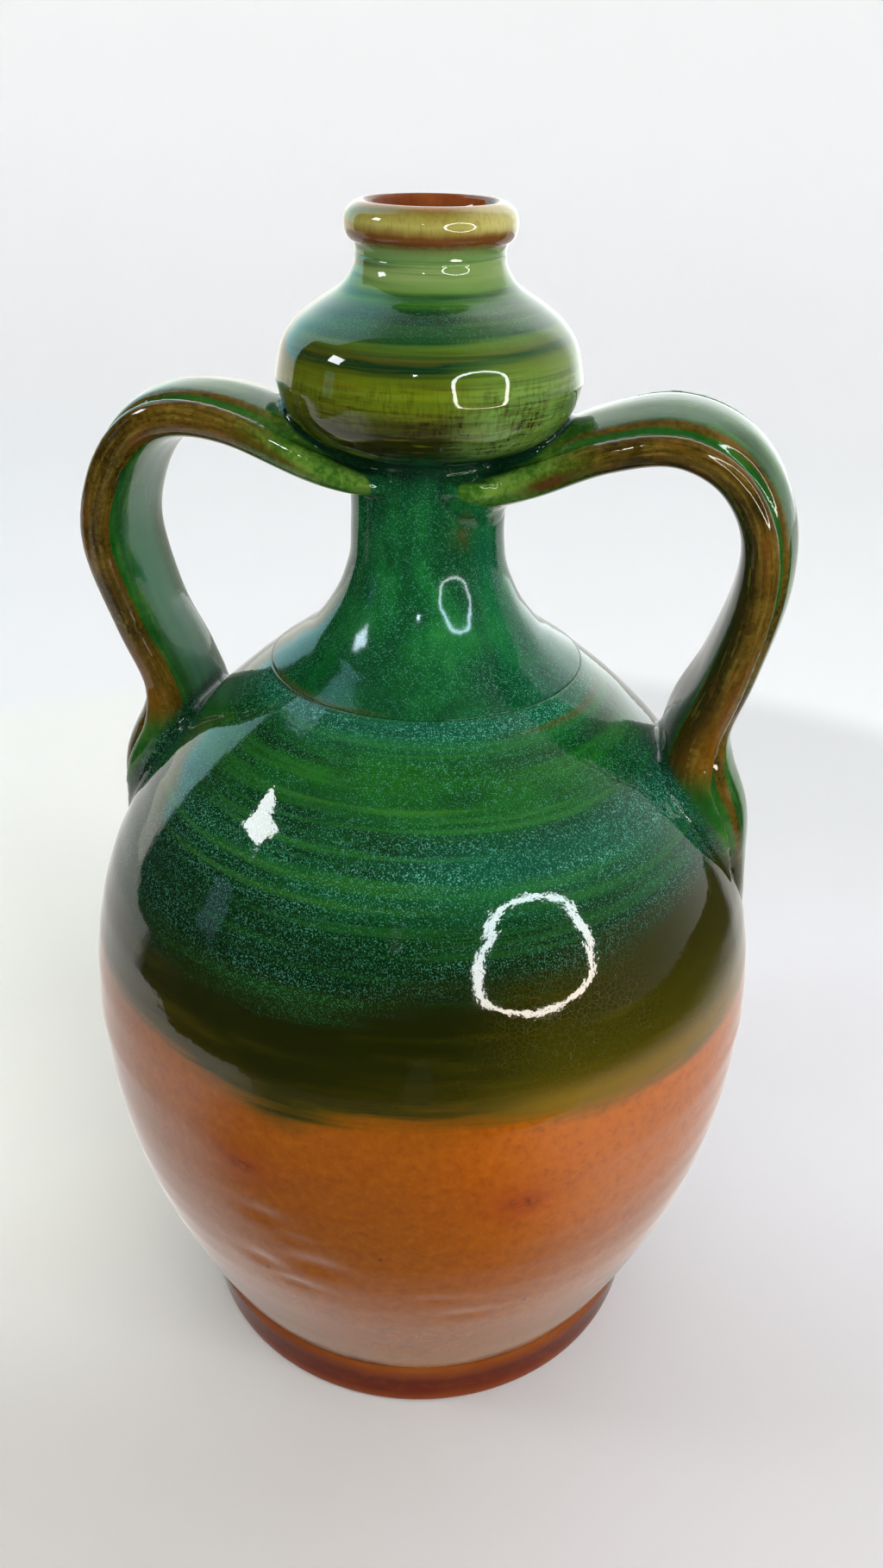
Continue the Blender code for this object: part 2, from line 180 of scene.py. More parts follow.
def bulb_outline(steps=FINE_STEPS):
    """Outer face of the bulb and throat, from the waist to the mouth ring."""
    low = WAIST_HEIGHT + SLIP_JOINT
    under = span(BULB_UNDERSIDE_SHARES, low, BULB_HEIGHT, WAIST_RADIUS, BULB_RADIUS, steps)
    over = span(BULB_TOP_SHARES, BULB_HEIGHT, THROAT_HEIGHT, THROAT_RADIUS, BULB_RADIUS, steps)
    return under + over[1:]


def offset_outline(points, distance):
    """Move an outline that rises from low to high out from the jug's wall."""
    moved = []
    last = len(points) - 1
    for index, (radius, height) in enumerate(points):
        low = Vector(points[max(index - 1, 0)])
        high = Vector(points[min(index + 1, last)])
        along = (high - low).normalized()
        moved.append((radius + along.y * distance, height - along.x * distance))
    return moved


print("points up the outside:", len(body_outline()) + len(neck_outline()) + len(bulb_outline()))

# %% [markdown]
# ## The hand in the clay
# A pot thrown on a wheel is never quite round. Fingers leave a shallow spiral of ridges, the clay
# sags a little, and knocks before firing leave dents. One function moves a point of the perfect
# outline to where the hand left it. The belly, neck, bulb and mouth use the same one, so they still fit.

# %% Move a point as the throwing hand did
FRONT_TURN = math.radians(-82.0)
FULL_TURN = 2 * math.pi
SLOW_SWELL = 16.0
SAG_SWELL = 9.0
UPPER_STRENGTH = 0.35
RIDGE_DEPTH = 0.00010
RIDGE_RISE = 0.0085
SAG_DEPTH = 0.00030
DENTS = (
    (-24.0, 0.084, 3.6, 0.0024, 0.00045),
    (-19.0, 0.079, 2.6, 0.0016, 0.00035),
    (-16.0, 0.071, 4.6, 0.0030, 0.00070),
    (-26.0, 0.066, 3.0, 0.0022, 0.00055),
    (-20.0, 0.061, 3.4, 0.0014, 0.00042),
    (4.0, 0.062, 3.0, 0.0012, 0.00028),
    (9.0, 0.054, 5.0, 0.0016, 0.00030),
    (37.0, 0.047, 2.0, 0.0014, 0.00035),
    (-3.0, 0.034, 4.0, 0.0022, 0.00026),
    (140.0, 0.088, 6.0, 0.0040, 0.00045),
    (-120.0, 0.060, 5.0, 0.0030, 0.00045),
    (20.0, 0.1465, 26.0, 0.0135, -0.00034),
)


def front_angle(point):
    """Angle round the axis in degrees, 0 at the picture's front and growing to the right."""
    turn = math.atan2(point.y, point.x) - FRONT_TURN
    return (math.degrees(turn) + 180) % 360 - 180


def by_hand(point):
    """Move a point of the perfect outside in or out as the hand left it."""
    radius = math.hypot(point.x, point.y)
    if radius < MOUTH_RADIUS / 4:
        return point.copy()
    turn = math.atan2(point.y, point.x)
    spiral = point.z / RIDGE_RISE - turn / FULL_TURN
    slow = noise.noise(point * SLOW_SWELL)
    strength = 0.25 + 0.10 * min(1.0, max(0.0, point.z / BELLY_HEIGHT - 0.8) * 4) + slow * 0.3
    if point.z > WAIST_HEIGHT:
        strength *= UPPER_STRENGTH
    moved = -RIDGE_DEPTH * (1 + math.sin(FULL_TURN * spiral)) * strength
    moved -= SAG_DEPTH * radius / BELLY_RADIUS * (0.5 + noise.noise(point * SAG_SWELL))
    angle = front_angle(point)
    for dent_angle, dent_height, wide, tall, deep in DENTS:
        away = ((angle - dent_angle) / wide) ** 2 + ((point.z - dent_height) / tall) ** 2
        if away < 9:
            moved -= deep * math.exp(-away)
    share = 1 + moved / radius
    return Vector((point.x * share, point.y * share, point.z))


print("dents in the belly:", len(DENTS))

# %% [markdown]
# ## Turning the pieces
# The outline of each piece becomes a chain of vertices, and bmesh's spin carries it once round the
# axis, as the wheel does. The full turn merges its ends, points on the axis are made one, and the
# normals are recalculated so that every face looks outwards. Then the hand moves the points.

# %% Spin an outline into a piece
TURN_STEPS = 224
COARSE_STEPS = 160
MERGE_DISTANCE = 0.00002


def new_object(name, shape):
    """Make a bmesh an object of the scene and free it."""
    mesh = bpy.data.meshes.new(name)
    shape.to_mesh(mesh)
    shape.free()
    made = bpy.data.objects.new(name, mesh)
    scene.collection.objects.link(made)
    return made


def add_piece(name, shape, node):
    """Make a bmesh an object that stands for one solid and rides on the jug."""
    triangles = sum(len(face.verts) - 2 for face in shape.faces)
    piece = new_object(name, shape)
    piece.data.shade_smooth()
    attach(piece, "root")
    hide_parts(node)
    print(name, triangles, "triangles")
    return piece


def spin(shape, chain, turn, steps):
    """Spin vertices and edges about the axis; a full turn merges its ends."""
    bmesh.ops.spin(
        shape, geom=chain, cent=(0, 0, 0), axis=(0, 0, 1), dvec=(0, 0, 0), angle=turn, steps=steps,
        use_merge=turn == FULL_TURN, use_duplicate=False,
    )
    bmesh.ops.remove_doubles(shape, verts=shape.verts, dist=MERGE_DISTANCE)


def spin_outline(outline, closed, steps=TURN_STEPS):
    """Spin (radius, height) points about the axis and close the surface."""
    shape = bmesh.new()
    corners = [shape.verts.new((radius, 0, height)) for radius, height in outline]
    edges = [shape.edges.new(pair) for pair in zip(corners, corners[1:])]
    if closed:
        edges.append(shape.edges.new((corners[-1], corners[0])))
    spin(shape, corners + edges, FULL_TURN, steps)
    bmesh.ops.recalc_face_normals(shape, faces=shape.faces)
    return shape


def spaced(points, gap):
    """Walk along a chain of points and set new ones at even gaps, ends kept."""
    lengths = [0.0]
    for start, end in zip(points, points[1:]):
        lengths.append(lengths[-1] + (Vector(end) - Vector(start)).length)
    count = max(1, round(lengths[-1] / gap))
    even = []
    index = 0
    for step in range(count + 1):
        goal = lengths[-1] * step / count
        while index < len(points) - 2 and lengths[index + 1] < goal:
            index += 1
        share = (goal - lengths[index]) / (lengths[index + 1] - lengths[index])
        even.append(tuple(Vector(points[index]).lerp(Vector(points[index + 1]), share)))
    return even


def thrown_piece(name, outline, closed, node, steps=TURN_STEPS):
    """Spin an outline, move its points as the hand did and make it a piece."""
    shape = spin_outline(outline, closed, steps)
    for corner in shape.verts:
        corner.co = by_hand(corner.co)
    bmesh.ops.recalc_face_normals(shape, faces=shape.faces)
    return add_piece(name, shape, node)


# %% Direction of the wall at the groove on the shoulder
ROUNDING = 0.32


def shoulder_joint():
    """Directions in the wall at the groove: up along it, and in across it."""
    below = Vector(body_outline()[-2])
    above = Vector(neck_outline()[1])
    upwards = (above - below).normalized()
    return upwards, Vector((-upwards.y, upwards.x))


def rounded_end(end, neighbour, inner, ease=JOINT_EASE):
    """Round the outer edge of a rim in three points, so that a fine groove shows."""
    end = Vector(end)
    back = (Vector(neighbour) - end).normalized() * ease
    inwards = (Vector(inner) - end).normalized() * ease
    middle = end + (back + inwards) * ROUNDING
    return [tuple(end + back), tuple(middle), tuple(end + inwards)]


# %% [markdown]
# ### The belly
# The body is the hollow belly with its shoulder and its floor. The floor stands inside the foot
# ring. The outside gets a point every 1.4 mm, which is fine enough for dents and ridges to bend
# the reflections, while the inside, which no one can see, stays coarse.

# %% Make the body
BELLY_GAP = 0.0014


def make_body():
    """Turn the belly with its wall and floor."""
    outer = body_outline()
    top = Vector(outer[-1])
    across = shoulder_joint()[1]
    inner = offset_outline(body_outline(INSIDE_STEPS), -BODY_WALL)
    inner[-1] = tuple(top + across * BODY_WALL)
    skin = spaced([point for point in outer if (Vector(point) - top).length > JOINT_EASE], BELLY_GAP)
    skin += rounded_end(outer[-1], outer[-2], inner[-1])
    plug_radius = FOOT_BAND_RADIUS - FOOT_RING_WIDTH - SLIP_JOINT
    floor_height = BASE_RECESS + BODY_FLOOR
    rising = [point for point in inner if point[1] > floor_height + BODY_WALL]
    floor_top = [(0.0, floor_height), (plug_radius - BODY_WALL / 2, floor_height)]
    base = [(plug_radius, FOOT_HEIGHT + SLIP_JOINT), (plug_radius, BASE_RECESS), (0.0, BASE_RECESS)]
    outline = [*floor_top, *rising, *reversed(skin), *base]
    return thrown_piece("belly", outline, False, "body")


belly = make_body()

# %% [markdown]
# ### The foot ring
# The foot ring is a band with a soft upper edge, turned a little wider than the belly starts, and
# it narrows towards the table. Its section is a closed loop, so the spin gives a closed ring.

# %% Make the foot ring
FOOT_STEPS = 5


def make_foot():
    """Turn the band that meets the table."""
    seat = FOOT_BAND_RADIUS - FOOT_RING_WIDTH
    outer = [
        (FOOT_BAND_RADIUS - FOOT_EDGE, FOOT_HEIGHT),
        (FOOT_BAND_RADIUS - FOOT_EDGE / 3, FOOT_HEIGHT - FOOT_EDGE / 2),
        (FOOT_BAND_RADIUS, FOOT_HEIGHT - 2 * FOOT_EDGE),
        (FOOT_BAND_RADIUS - FOOT_EDGE / 2, FOOT_HEIGHT / 2),
        (FOOT_RADIUS + FOOT_EDGE, FOOT_EDGE * 2),
        (FOOT_RADIUS + FOOT_EDGE / 2, FOOT_EDGE / 2),
        (FOOT_RADIUS - FOOT_EDGE / 2, 0.0),
    ]
    skin = smooth_rows(outer, FOOT_STEPS)
    outline = [(seat, FOOT_HEIGHT), *skin, (seat + FOOT_EDGE, 0.0), (seat, FOOT_EDGE)]
    return add_piece("foot_band", spin_outline(outline, True), "foot_ring")


foot = make_foot()

# %% [markdown]
# ### Neck, bulb and mouth
# The neck flares down to the groove on the shoulder. The bulb is thrown as a small hollow pot of
# its own and luted on the waist, and the lip is rolled over on its throat. Each has its own wall
# and bore, so the jug is open from the mouth down to the floor.

# %% Make the neck
NECK_GAP = 0.0009


def make_neck():
    """Turn the neck from the groove to the waist."""
    outer = neck_outline()
    inner = offset_outline(neck_outline(INSIDE_STEPS), -NECK_WALL)
    upwards, inwards = shoulder_joint()
    start = Vector(outer[0]) + upwards * JOINT_GAP
    outer[0] = tuple(start)
    inner[0] = tuple(start + inwards * NECK_WALL)
    rest = [point for point in outer if (Vector(point) - start).length > JOINT_EASE * 1.5]
    skin = [*reversed(rounded_end(outer[0], outer[1], inner[0])), *spaced(rest, NECK_GAP)]
    return thrown_piece("flared_neck", [*inner, *reversed(skin)], True, "neck")


neck = make_neck()

# %% Make the bulb
BULB_GAP = 0.0008


def make_bulb():
    """Turn the hollow bulb and the throat on top of it."""
    outer = bulb_outline()
    low = outer[0][1]
    inner = offset_outline(bulb_outline(INSIDE_STEPS), -NECK_WALL)
    bore = WAIST_RADIUS - NECK_WALL
    hollow = [point for point in inner if point[1] > low + NECK_WALL and point[0] > bore]
    throat = (THROAT_RADIUS - NECK_WALL, THROAT_HEIGHT)
    skin = reversed(spaced(outer, BULB_GAP))
    outline = [(bore, low), (bore, low + NECK_WALL / 2), *hollow[:-1], throat, *skin]
    return thrown_piece("gourd_bulb", outline, True, "bulb")


bulb = make_bulb()

# %% Make the rolled mouth
LIP_STEPS = 8


def make_mouth():
    """Turn the rolled lip on its throat."""
    low = THROAT_HEIGHT + JOINT_GAP
    roll = span(LIP_SHARES, low, JUG_HEIGHT, MOUTH_RADIUS, LIP_RADIUS, LIP_STEPS)
    outline = [(THROAT_RADIUS - NECK_WALL, low), *reversed(roll)]
    return thrown_piece("rolled_mouth", outline, True, "mouth_ring", COARSE_STEPS)


mouth = make_mouth()

# %% [markdown]
# ### The strap handles
# A potter pulls a handle from a lump of wet clay. The strap keeps a rolled edge, a groove, a narrow
# ridge and a broad back along its whole length. It is pressed round the waist, arched over and
# pressed on the shoulder. Here a ring of points with that section is extruded from place to place.

# %% The strap's section and path
STRAP_WIDTH = 0.0280
STRAP_THICKNESS = 0.0110
HANDLE_TOP_HEIGHT = WAIST_HEIGHT + 0.0077
RIGHT_HANDLE_REACH = 0.0564
LEFT_HANDLE_REACH = 0.0539
PAD_HEIGHT = SHOULDER_HEIGHT - 0.0212
PAD_LENGTH = 0.0455
STRAP_OUTER_SHARES = (
    (1.00, -0.06), (0.99, 0.09), (0.945, 0.22), (0.87, 0.30), (0.79, 0.29), (0.725, 0.20),
    (0.665, 0.23), (0.61, 0.36), (0.53, 0.43), (0.34, 0.49),
)
STRAP_CREST_SHARE = 0.54
STRAP_INNER_SHARES = ((0.975, -0.17), (0.90, -0.28), (0.77, -0.365), (0.55, -0.425), (0.28, -0.45))
STRAP_HOLLOW_SHARE = -0.46
SECTION_STEPS = 3
STATION_STEPS = 7
RIGHT_ROOT_SHARES = (
    (-0.51, -0.74, -0.12, 0.0, 1.24, 1.12, 0.86, 1.0),
    (0.00, -0.50, -0.12, -3.0, 1.18, 1.08, 0.90, 1.0),
    (0.72, -0.12, -0.11, 1.0, 1.03, 1.02, 0.98, 0.5),
)
RIGHT_ARCH_SHARES = (
    (0.36, 0.96, -0.09, 5.0, 1.00, 1.00, 0.96, 0.0),
    (0.62, 0.995, -0.06, 9.0, 1.00, 1.00, 0.96, 0.0),
    (0.84, 0.925, -0.04, 11.0, 1.00, 1.00, 0.98, 0.0),
    (0.97, 0.77, -0.02, 10.0, 1.00, 1.00, 1.00, 0.0),
    (0.985, 0.57, 0.00, 7.0, 1.00, 1.00, 1.12, 0.0),
    (0.905, 0.32, 0.02, 3.0, 1.00, 1.00, 1.20, 0.0),
)
RIGHT_PAD_SHARES = (
    (1.32, -0.22, 0.03, -2.0, 1.04, 1.04, 1.32, 0.4),
    (0.34, 0.03, 0.03, 0.0, 1.18, 1.18, 1.56, 1.0),
    (-0.03, 0.30, 0.03, 0.0, 1.10, 1.10, 1.50, 1.0),
    (-0.30, 0.56, 0.03, 0.0, 0.82, 0.82, 1.10, 1.0),
    (-0.37, 0.83, 0.03, 0.0, 0.50, 0.50, 0.70, 1.0),
    (-0.31, 1.00, 0.03, 0.0, 0.22, 0.22, 0.40, 1.0),
)
LEFT_ROOT_SHARES = (
    (-0.49, -0.32, -0.32, 0.0, 1.40, 1.12, 0.32, 1.0),
    (0.00, -0.22, -0.32, 6.0, 1.24, 1.08, 0.66, 1.0),
    (0.59, 0.05, -0.32, 6.0, 1.06, 1.02, 0.94, 0.5),
)
LEFT_ARCH_SHARES = (
    (0.4, 0.98, -0.27, 0.0, 1.00, 1.00, 1.02, 0.0),
    (0.65, 0.985, -0.20, -5.0, 1.00, 1.00, 1.04, 0.0),
    (0.82, 0.915, -0.10, -8.0, 1.00, 1.00, 1.04, 0.0),
    (0.945, 0.77, 0.03, -10.0, 1.00, 1.00, 1.00, 0.0),
    (1.0, 0.585, 0.20, -11.0, 0.98, 0.98, 0.96, 0.0),
    (0.935, 0.33, 0.43, -8.0, 0.96, 0.96, 0.96, 0.0),
)
LEFT_PAD_SHARES = (
    (1.30, -0.22, 0.60, -6.0, 1.00, 1.00, 1.06, 0.4),
    (0.35, 0.03, 0.68, 0.0, 1.16, 1.16, 1.48, 1.0),
    (0.06, 0.30, 0.70, 0.0, 1.10, 1.10, 1.46, 1.0),
    (-0.13, 0.56, 0.70, 0.0, 0.82, 0.82, 1.00, 1.0),
    (-0.23, 0.83, 0.70, 0.0, 0.50, 0.50, 0.64, 1.0),
    (-0.22, 1.01, 0.70, 0.0, 0.22, 0.22, 0.36, 1.0),
)


def body_radius(height):
    """Radius of the body's outer face at a height."""
    outline = body_outline()
    for (low_radius, low), (high_radius, high) in zip(outline, outline[1:]):
        if low <= height <= high:
            return low_radius + (high_radius - low_radius) * (height - low) / (high - low)
    return outline[-1][0] if height > outline[-1][1] else outline[0][0]


def strap_section():
    """One section of a strap as shares, round from the front edge and back, rounded off."""
    outer = [(-across, high) for across, high in STRAP_OUTER_SHARES]
    outer.append((0.0, STRAP_CREST_SHARE))
    outer += [(across, high) for across, high in reversed(STRAP_OUTER_SHARES)]
    inner = [*STRAP_INNER_SHARES, (0.0, STRAP_HOLLOW_SHARE)]
    inner += [(-across, high) for across, high in reversed(STRAP_INNER_SHARES)]
    rows = outer + inner
    curve = smooth_rows(rows[-2:] + rows + rows[:3], SECTION_STEPS)
    return curve[2 * SECTION_STEPS:-2 * SECTION_STEPS - 1]


def strap_stations(root_shares, arch_shares, pad_shares, reach):
    """Work out the places and sizes of a strap's sections, from root to pad."""
    rows = []
    for out, up, *sizes in root_shares:
        place = (WAIST_RADIUS + STRAP_THICKNESS * out, WAIST_HEIGHT + STRAP_THICKNESS * up)
        rows.append((*place, *sizes))
    for out, up, *sizes in arch_shares:
        height = PAD_HEIGHT + (HANDLE_TOP_HEIGHT - PAD_HEIGHT) * up
        rows.append((WAIST_RADIUS + reach * out, height, *sizes))
    for out, down, *sizes in pad_shares:
        height = PAD_HEIGHT - PAD_LENGTH * down
        rows.append((body_radius(height) + STRAP_THICKNESS * out, height, *sizes))
    return smooth_rows(rows, STATION_STEPS)


print("points round a strap:", len(strap_section()))

# %% Extrude the section along the path
def wrapped(point, centre, wrap):
    """Bend the sideways part of a point round the jug's axis by a share."""
    radius = max(centre.x, WAIST_RADIUS)
    angle = point.y / radius
    out = point.x - (centre.x - radius)
    round_point = Vector((out * math.cos(angle), out * math.sin(angle), point.z))
    round_point.x += centre.x - radius
    return point.lerp(round_point, wrap)


def section_frames(stations):
    """For each station: its middle, the directions across and outward, and its sizes."""
    frames = []
    last = len(stations) - 1
    for index, station in enumerate(stations):
        out, up, shift, twist, *sizes = station
        before, after = stations[max(index - 1, 0)], stations[min(index + 1, last)]
        along = Vector((after[0] - before[0], 0.0, after[1] - before[1])).normalized()
        across = Vector((0.0, 1.0, 0.0))
        outward = along.cross(across)
        turn = Matrix.Rotation(math.radians(twist), 3, along)
        frames.append((Vector((out, 0.0, up)), turn @ across, turn @ outward, shift, *sizes))
    return frames


def section_points(section_frame, side):
    """Places of the section's points at one station."""
    centre, across, outward, shift, front, back, thick, wrap = section_frame
    middle = centre + Vector((0.0, shift * STRAP_WIDTH / 2, 0.0))
    points = []
    for sideways, high in strap_section():
        spread = front if sideways < 0 else back
        point = middle + across * sideways * spread * STRAP_WIDTH / 2
        point = point + outward * high * thick * STRAP_THICKNESS
        point = wrapped(point, centre, wrap)
        points.append(Vector((side * point.x, point.y, point.z)))
    return points


def close_ring(shape, ring):
    """Join vertices into a ring of edges."""
    return [shape.edges.new((ring[index - 1], ring[index])) for index in range(len(ring))]


def close_ends(shape):
    """Fill the open ends and turn every face outwards."""
    open_edges = [edge for edge in shape.edges if edge.is_boundary]
    bmesh.ops.holes_fill(shape, edges=open_edges, sides=0)
    bmesh.ops.recalc_face_normals(shape, faces=shape.faces)
    return shape


def extrude_strap(frames, side):
    """Extrude a ring of points from station to station and close both ends."""
    shape = bmesh.new()
    ring = [shape.verts.new(point) for point in section_points(frames[0], side)]
    edges = close_ring(shape, ring)
    for section_frame in frames[1:]:
        made = bmesh.ops.extrude_edge_only(shape, edges=edges)["geom"]
        fresh = {part for part in made if isinstance(part, bmesh.types.BMVert)}
        ring = [
            next(edge.other_vert(old) for edge in old.link_edges if edge.other_vert(old) in fresh)
            for old in ring
        ]
        edges = [part for part in made if isinstance(part, bmesh.types.BMEdge)]
        edges = [edge for edge in edges if fresh.issuperset(edge.verts)]
        for corner, place in zip(ring, section_points(section_frame, side)):
            corner.co = place
    return close_ends(shape)


# %% [markdown]
# ### Luting a handle on
# Where wet clay is pressed on wet clay, the potter wipes slip into the corner, so a small hollow
# curve joins the two. A thin slab of the jug's own wall, sunk just under its surface, is merged
# with the strap by a voxel remesh, and smoothing the corner then gives that curve. The slab stays
# hidden in the clay, and the curve runs out under the surface of the jug.

# %% A sunken slab of the wall, and how far a point stands off the jug
COARSE_GAP = 0.0020
SLAB_ROW_STEPS = 5
SLAB_TURN_STEPS = 48
SLAB_SUNK = 0.00035
SLAB_DEEP = 0.0026
SAME_RADIUS = 0.00002
LEVEL_FACE = 0.2
ROOT_SLAB = (0.206, 0.2475, math.radians(105.0))
PAD_SLAB = (0.112, 0.177, math.radians(34.0))


def whole_outline(steps=FINE_STEPS):
    """Outer face of the jug from the foot ring to the throat."""
    return body_outline(steps) + neck_outline(steps)[1:] + bulb_outline(steps)[1:]


def spin_section(outline, middle, reach):
    """Spin a closed section part of the way round the axis and close both ends."""
    start = middle - reach
    shape = bmesh.new()
    corners = [
        shape.verts.new((radius * math.cos(start), radius * math.sin(start), height))
        for radius, height in outline
    ]
    edges = close_ring(shape, corners)
    spin(shape, corners + edges, 2 * reach, SLAB_TURN_STEPS)
    return close_ends(shape)


def side_turn(side):
    """Angle of a strap's side: 0 at the right, where side is 1, and half a turn at the left."""
    return 0 if side > 0 else math.pi


def wall_slab(low, high, reach, side):
    """A slab of the wall between two heights, sunk a little under its surface."""
    within = [point for point in whole_outline(SLAB_ROW_STEPS) if low < point[1] < high]
    skin = spaced(within, COARSE_GAP)
    outline = [*offset_outline(skin, -SLAB_SUNK), *reversed(offset_outline(skin, -SLAB_DEEP))]
    return spin_section(outline, side_turn(side), reach)


# %% Slip wiped into the corner under a root
SLIP_CORE = 0.0145
SLIP_TURN = math.radians(-24.0)
SLIP_REACH = math.radians(50.0)
RIGHT_SLIP = ((0.0165, 0.2175), (0.0174, 0.2215), (0.0196, 0.2245), (0.0232, 0.2270), (0.0232, 0.2300))


def slip_wedge(rows, side):
    """A wedge of slip under a root, hollow in section, that thins out to both sides."""
    middle = side_turn(side) + SLIP_TURN
    outline = [*rows, (SLIP_CORE, rows[-1][1]), (SLIP_CORE, rows[0][1])]
    shape = spin_section(outline, middle, SLIP_REACH)
    for corner in shape.verts:
        radius = math.hypot(corner.co.x, corner.co.y)
        turned_by = math.atan2(corner.co.y, corner.co.x) - middle
        turned_by = (turned_by + math.pi) % FULL_TURN - math.pi
        share = math.sqrt(max(0.0, 1 - (turned_by / SLIP_REACH) ** 2))
        scale = (SLIP_CORE + (radius - SLIP_CORE) * share) / radius
        corner.co.x *= scale
        corner.co.y *= scale
    return shape


def outside_tree():
    """A search tree of the jug's outside, for distances from it."""
    shape = spin_outline(spaced(whole_outline(), COARSE_GAP), False, COARSE_STEPS)
    for face in shape.faces:
        middle = face.calc_center_median()
        if face.normal.dot(Vector((middle.x, middle.y, 0))) < 0 and abs(face.normal.z) < LEVEL_FACE:
            face.normal_flip()
    tree = BVHTree.FromBMesh(shape)
    shape.free()
    return tree


jug_skin = outside_tree()


def stand_off(point):
    """Distance of a point from the jug's outside, above 0 when it is outside."""
    place, *_, distance = jug_skin.find_nearest(point)
    further = math.hypot(point.x, point.y) - math.hypot(place.x, place.y)
    outside = point.z > place.z if abs(further) < SAME_RADIUS else further > 0
    return distance if outside else -distance


# %% Merge, remesh and smooth a handle
VOXEL = 0.00068
FILLET_RANGE = (-0.0008, 0.0032)
SKIN_SMOOTHING = 2
FILLET_SMOOTHING = 14


def add_mesh(shape, other):
    """Add one bmesh to another."""
    spare = bpy.data.meshes.new("spare")
    other.to_mesh(spare)
    other.free()
    shape.from_mesh(spare)
    bpy.data.meshes.remove(spare)


def remeshed(shape):
    """Give a bmesh an even skin of small squares, overlaps made one."""
    carrier = new_object("remesh", shape)
    mesh = carrier.data
    remesh = carrier.modifiers.new("remesh", "REMESH")
    remesh.mode = "VOXEL"
    remesh.voxel_size = VOXEL
    remesh.adaptivity = 0.0
    graph = bpy.context.evaluated_depsgraph_get()
    even = bpy.data.meshes.new_from_object(carrier.evaluated_get(graph))
    result = bmesh.new()
    result.from_mesh(even)
    bpy.data.objects.remove(carrier)
    bpy.data.meshes.remove(mesh)
    bpy.data.meshes.remove(even)
    return result


def smooth_some(shape, corners, times):
    """Smooth chosen vertices a number of times."""
    axes = {"use_axis_x": True, "use_axis_y": True, "use_axis_z": True}
    for _ in range(times):
        bmesh.ops.smooth_vert(shape, verts=corners, factor=0.5, **axes)


def make_handle(name, node, root, arch, pad, reach, side, slip=None):
    """Make one strap with its slip fillets and the measures that its glaze needs."""
    frames = section_frames(strap_stations(root, arch, pad, reach))
    shape = extrude_strap(frames, side)
    add_mesh(shape, wall_slab(*ROOT_SLAB, side))
    add_mesh(shape, wall_slab(*PAD_SLAB, side))
    if slip:
        add_mesh(shape, slip_wedge(slip, side))
    shape = remeshed(shape)
    smooth_some(shape, shape.verts, SKIN_SMOOTHING)
    low, high = FILLET_RANGE
    fillet = [corner for corner in shape.verts if low < stand_off(corner.co) < high]
    smooth_some(shape, fillet, FILLET_SMOOTHING)
    bmesh.ops.recalc_face_normals(shape, faces=shape.faces)
    store_measures(shape, frames, side)
    return add_piece(name, shape, node)


# %% [markdown]
# ### Measures for the glaze
# Glaze runs thin over the strap's rolled edge and its ridge, which show the brown clay, and gathers
# in the groove between them. So each point of a handle stores where it lies across, along and above
# the strap, and how far it stands off the jug. The material reads these as attributes.

# %% Store stand-off and place on the strap
def store_measures(shape, frames, side):
    """Write the attributes rise, across, along and high on every vertex."""
    centres = kdtree.KDTree(len(frames))
    middles = []
    for index, (centre, _, _, shift, *_) in enumerate(frames):
        middles.append(Vector((side * centre.x, shift * STRAP_WIDTH / 2, centre.z)))
        centres.insert(Vector((side * centre.x, 0, centre.z)), index)
    centres.balance()
    lengths = [0.0]
    for middle, following in zip(middles, middles[1:]):
        lengths.append(lengths[-1] + (following - middle).length)
    layers = {name: shape.verts.layers.float.new(name) for name in ("rise", "across", "along", "high")}
    for corner in shape.verts:
        _, index, _ = centres.find(Vector((corner.co.x, 0, corner.co.z)))
        centre, across, outward, shift, front, back, thick, wrap = frames[index]
        middle = middles[index]
        direction = Vector((side * across.x, across.y, across.z))
        upright = Vector((side * outward.x, outward.y, outward.z))
        away = (corner.co - middle).dot(direction)
        round_away = math.atan2(corner.co.y, side * corner.co.x) * max(centre.x, WAIST_RADIUS)
        away += (round_away - shift * STRAP_WIDTH / 2 - away) * wrap
        corner[layers["rise"]] = stand_off(corner.co) * 1000
        corner[layers["high"]] = (corner.co - middle).dot(upright) / (STRAP_THICKNESS * thick)
        corner[layers["across"]] = away / (STRAP_WIDTH / 2) / (front if away < 0 else back)
        corner[layers["along"]] = lengths[index] * 1000
    print("strap of", round(lengths[-1] * 1000), "mm along its middle")


right_handle = make_handle(
    "right_strap", "right_handle", RIGHT_ROOT_SHARES, RIGHT_ARCH_SHARES, RIGHT_PAD_SHARES,
    RIGHT_HANDLE_REACH, 1, RIGHT_SLIP,
)
left_handle = make_handle(
    "left_strap", "left_handle", LEFT_ROOT_SHARES, LEFT_ARCH_SHARES, LEFT_PAD_SHARES,
    LEFT_HANDLE_REACH, -1,
)

# %% [markdown]
# ## Writing glazes as sums
# A material is a net of nodes, and long nets are hard to read. So one small class wraps a value of
# the net, and Python's own signs add the Math nodes. Every other node comes from one method, which
# takes its type, its settings and the values of its sockets.

# %% A value that nodes work out
BLACK = (0.0, 0.0, 0.0, 1.0)
WHITE = (1.0, 1.0, 1.0, 1.0)
DEGREES = 180 / math.pi


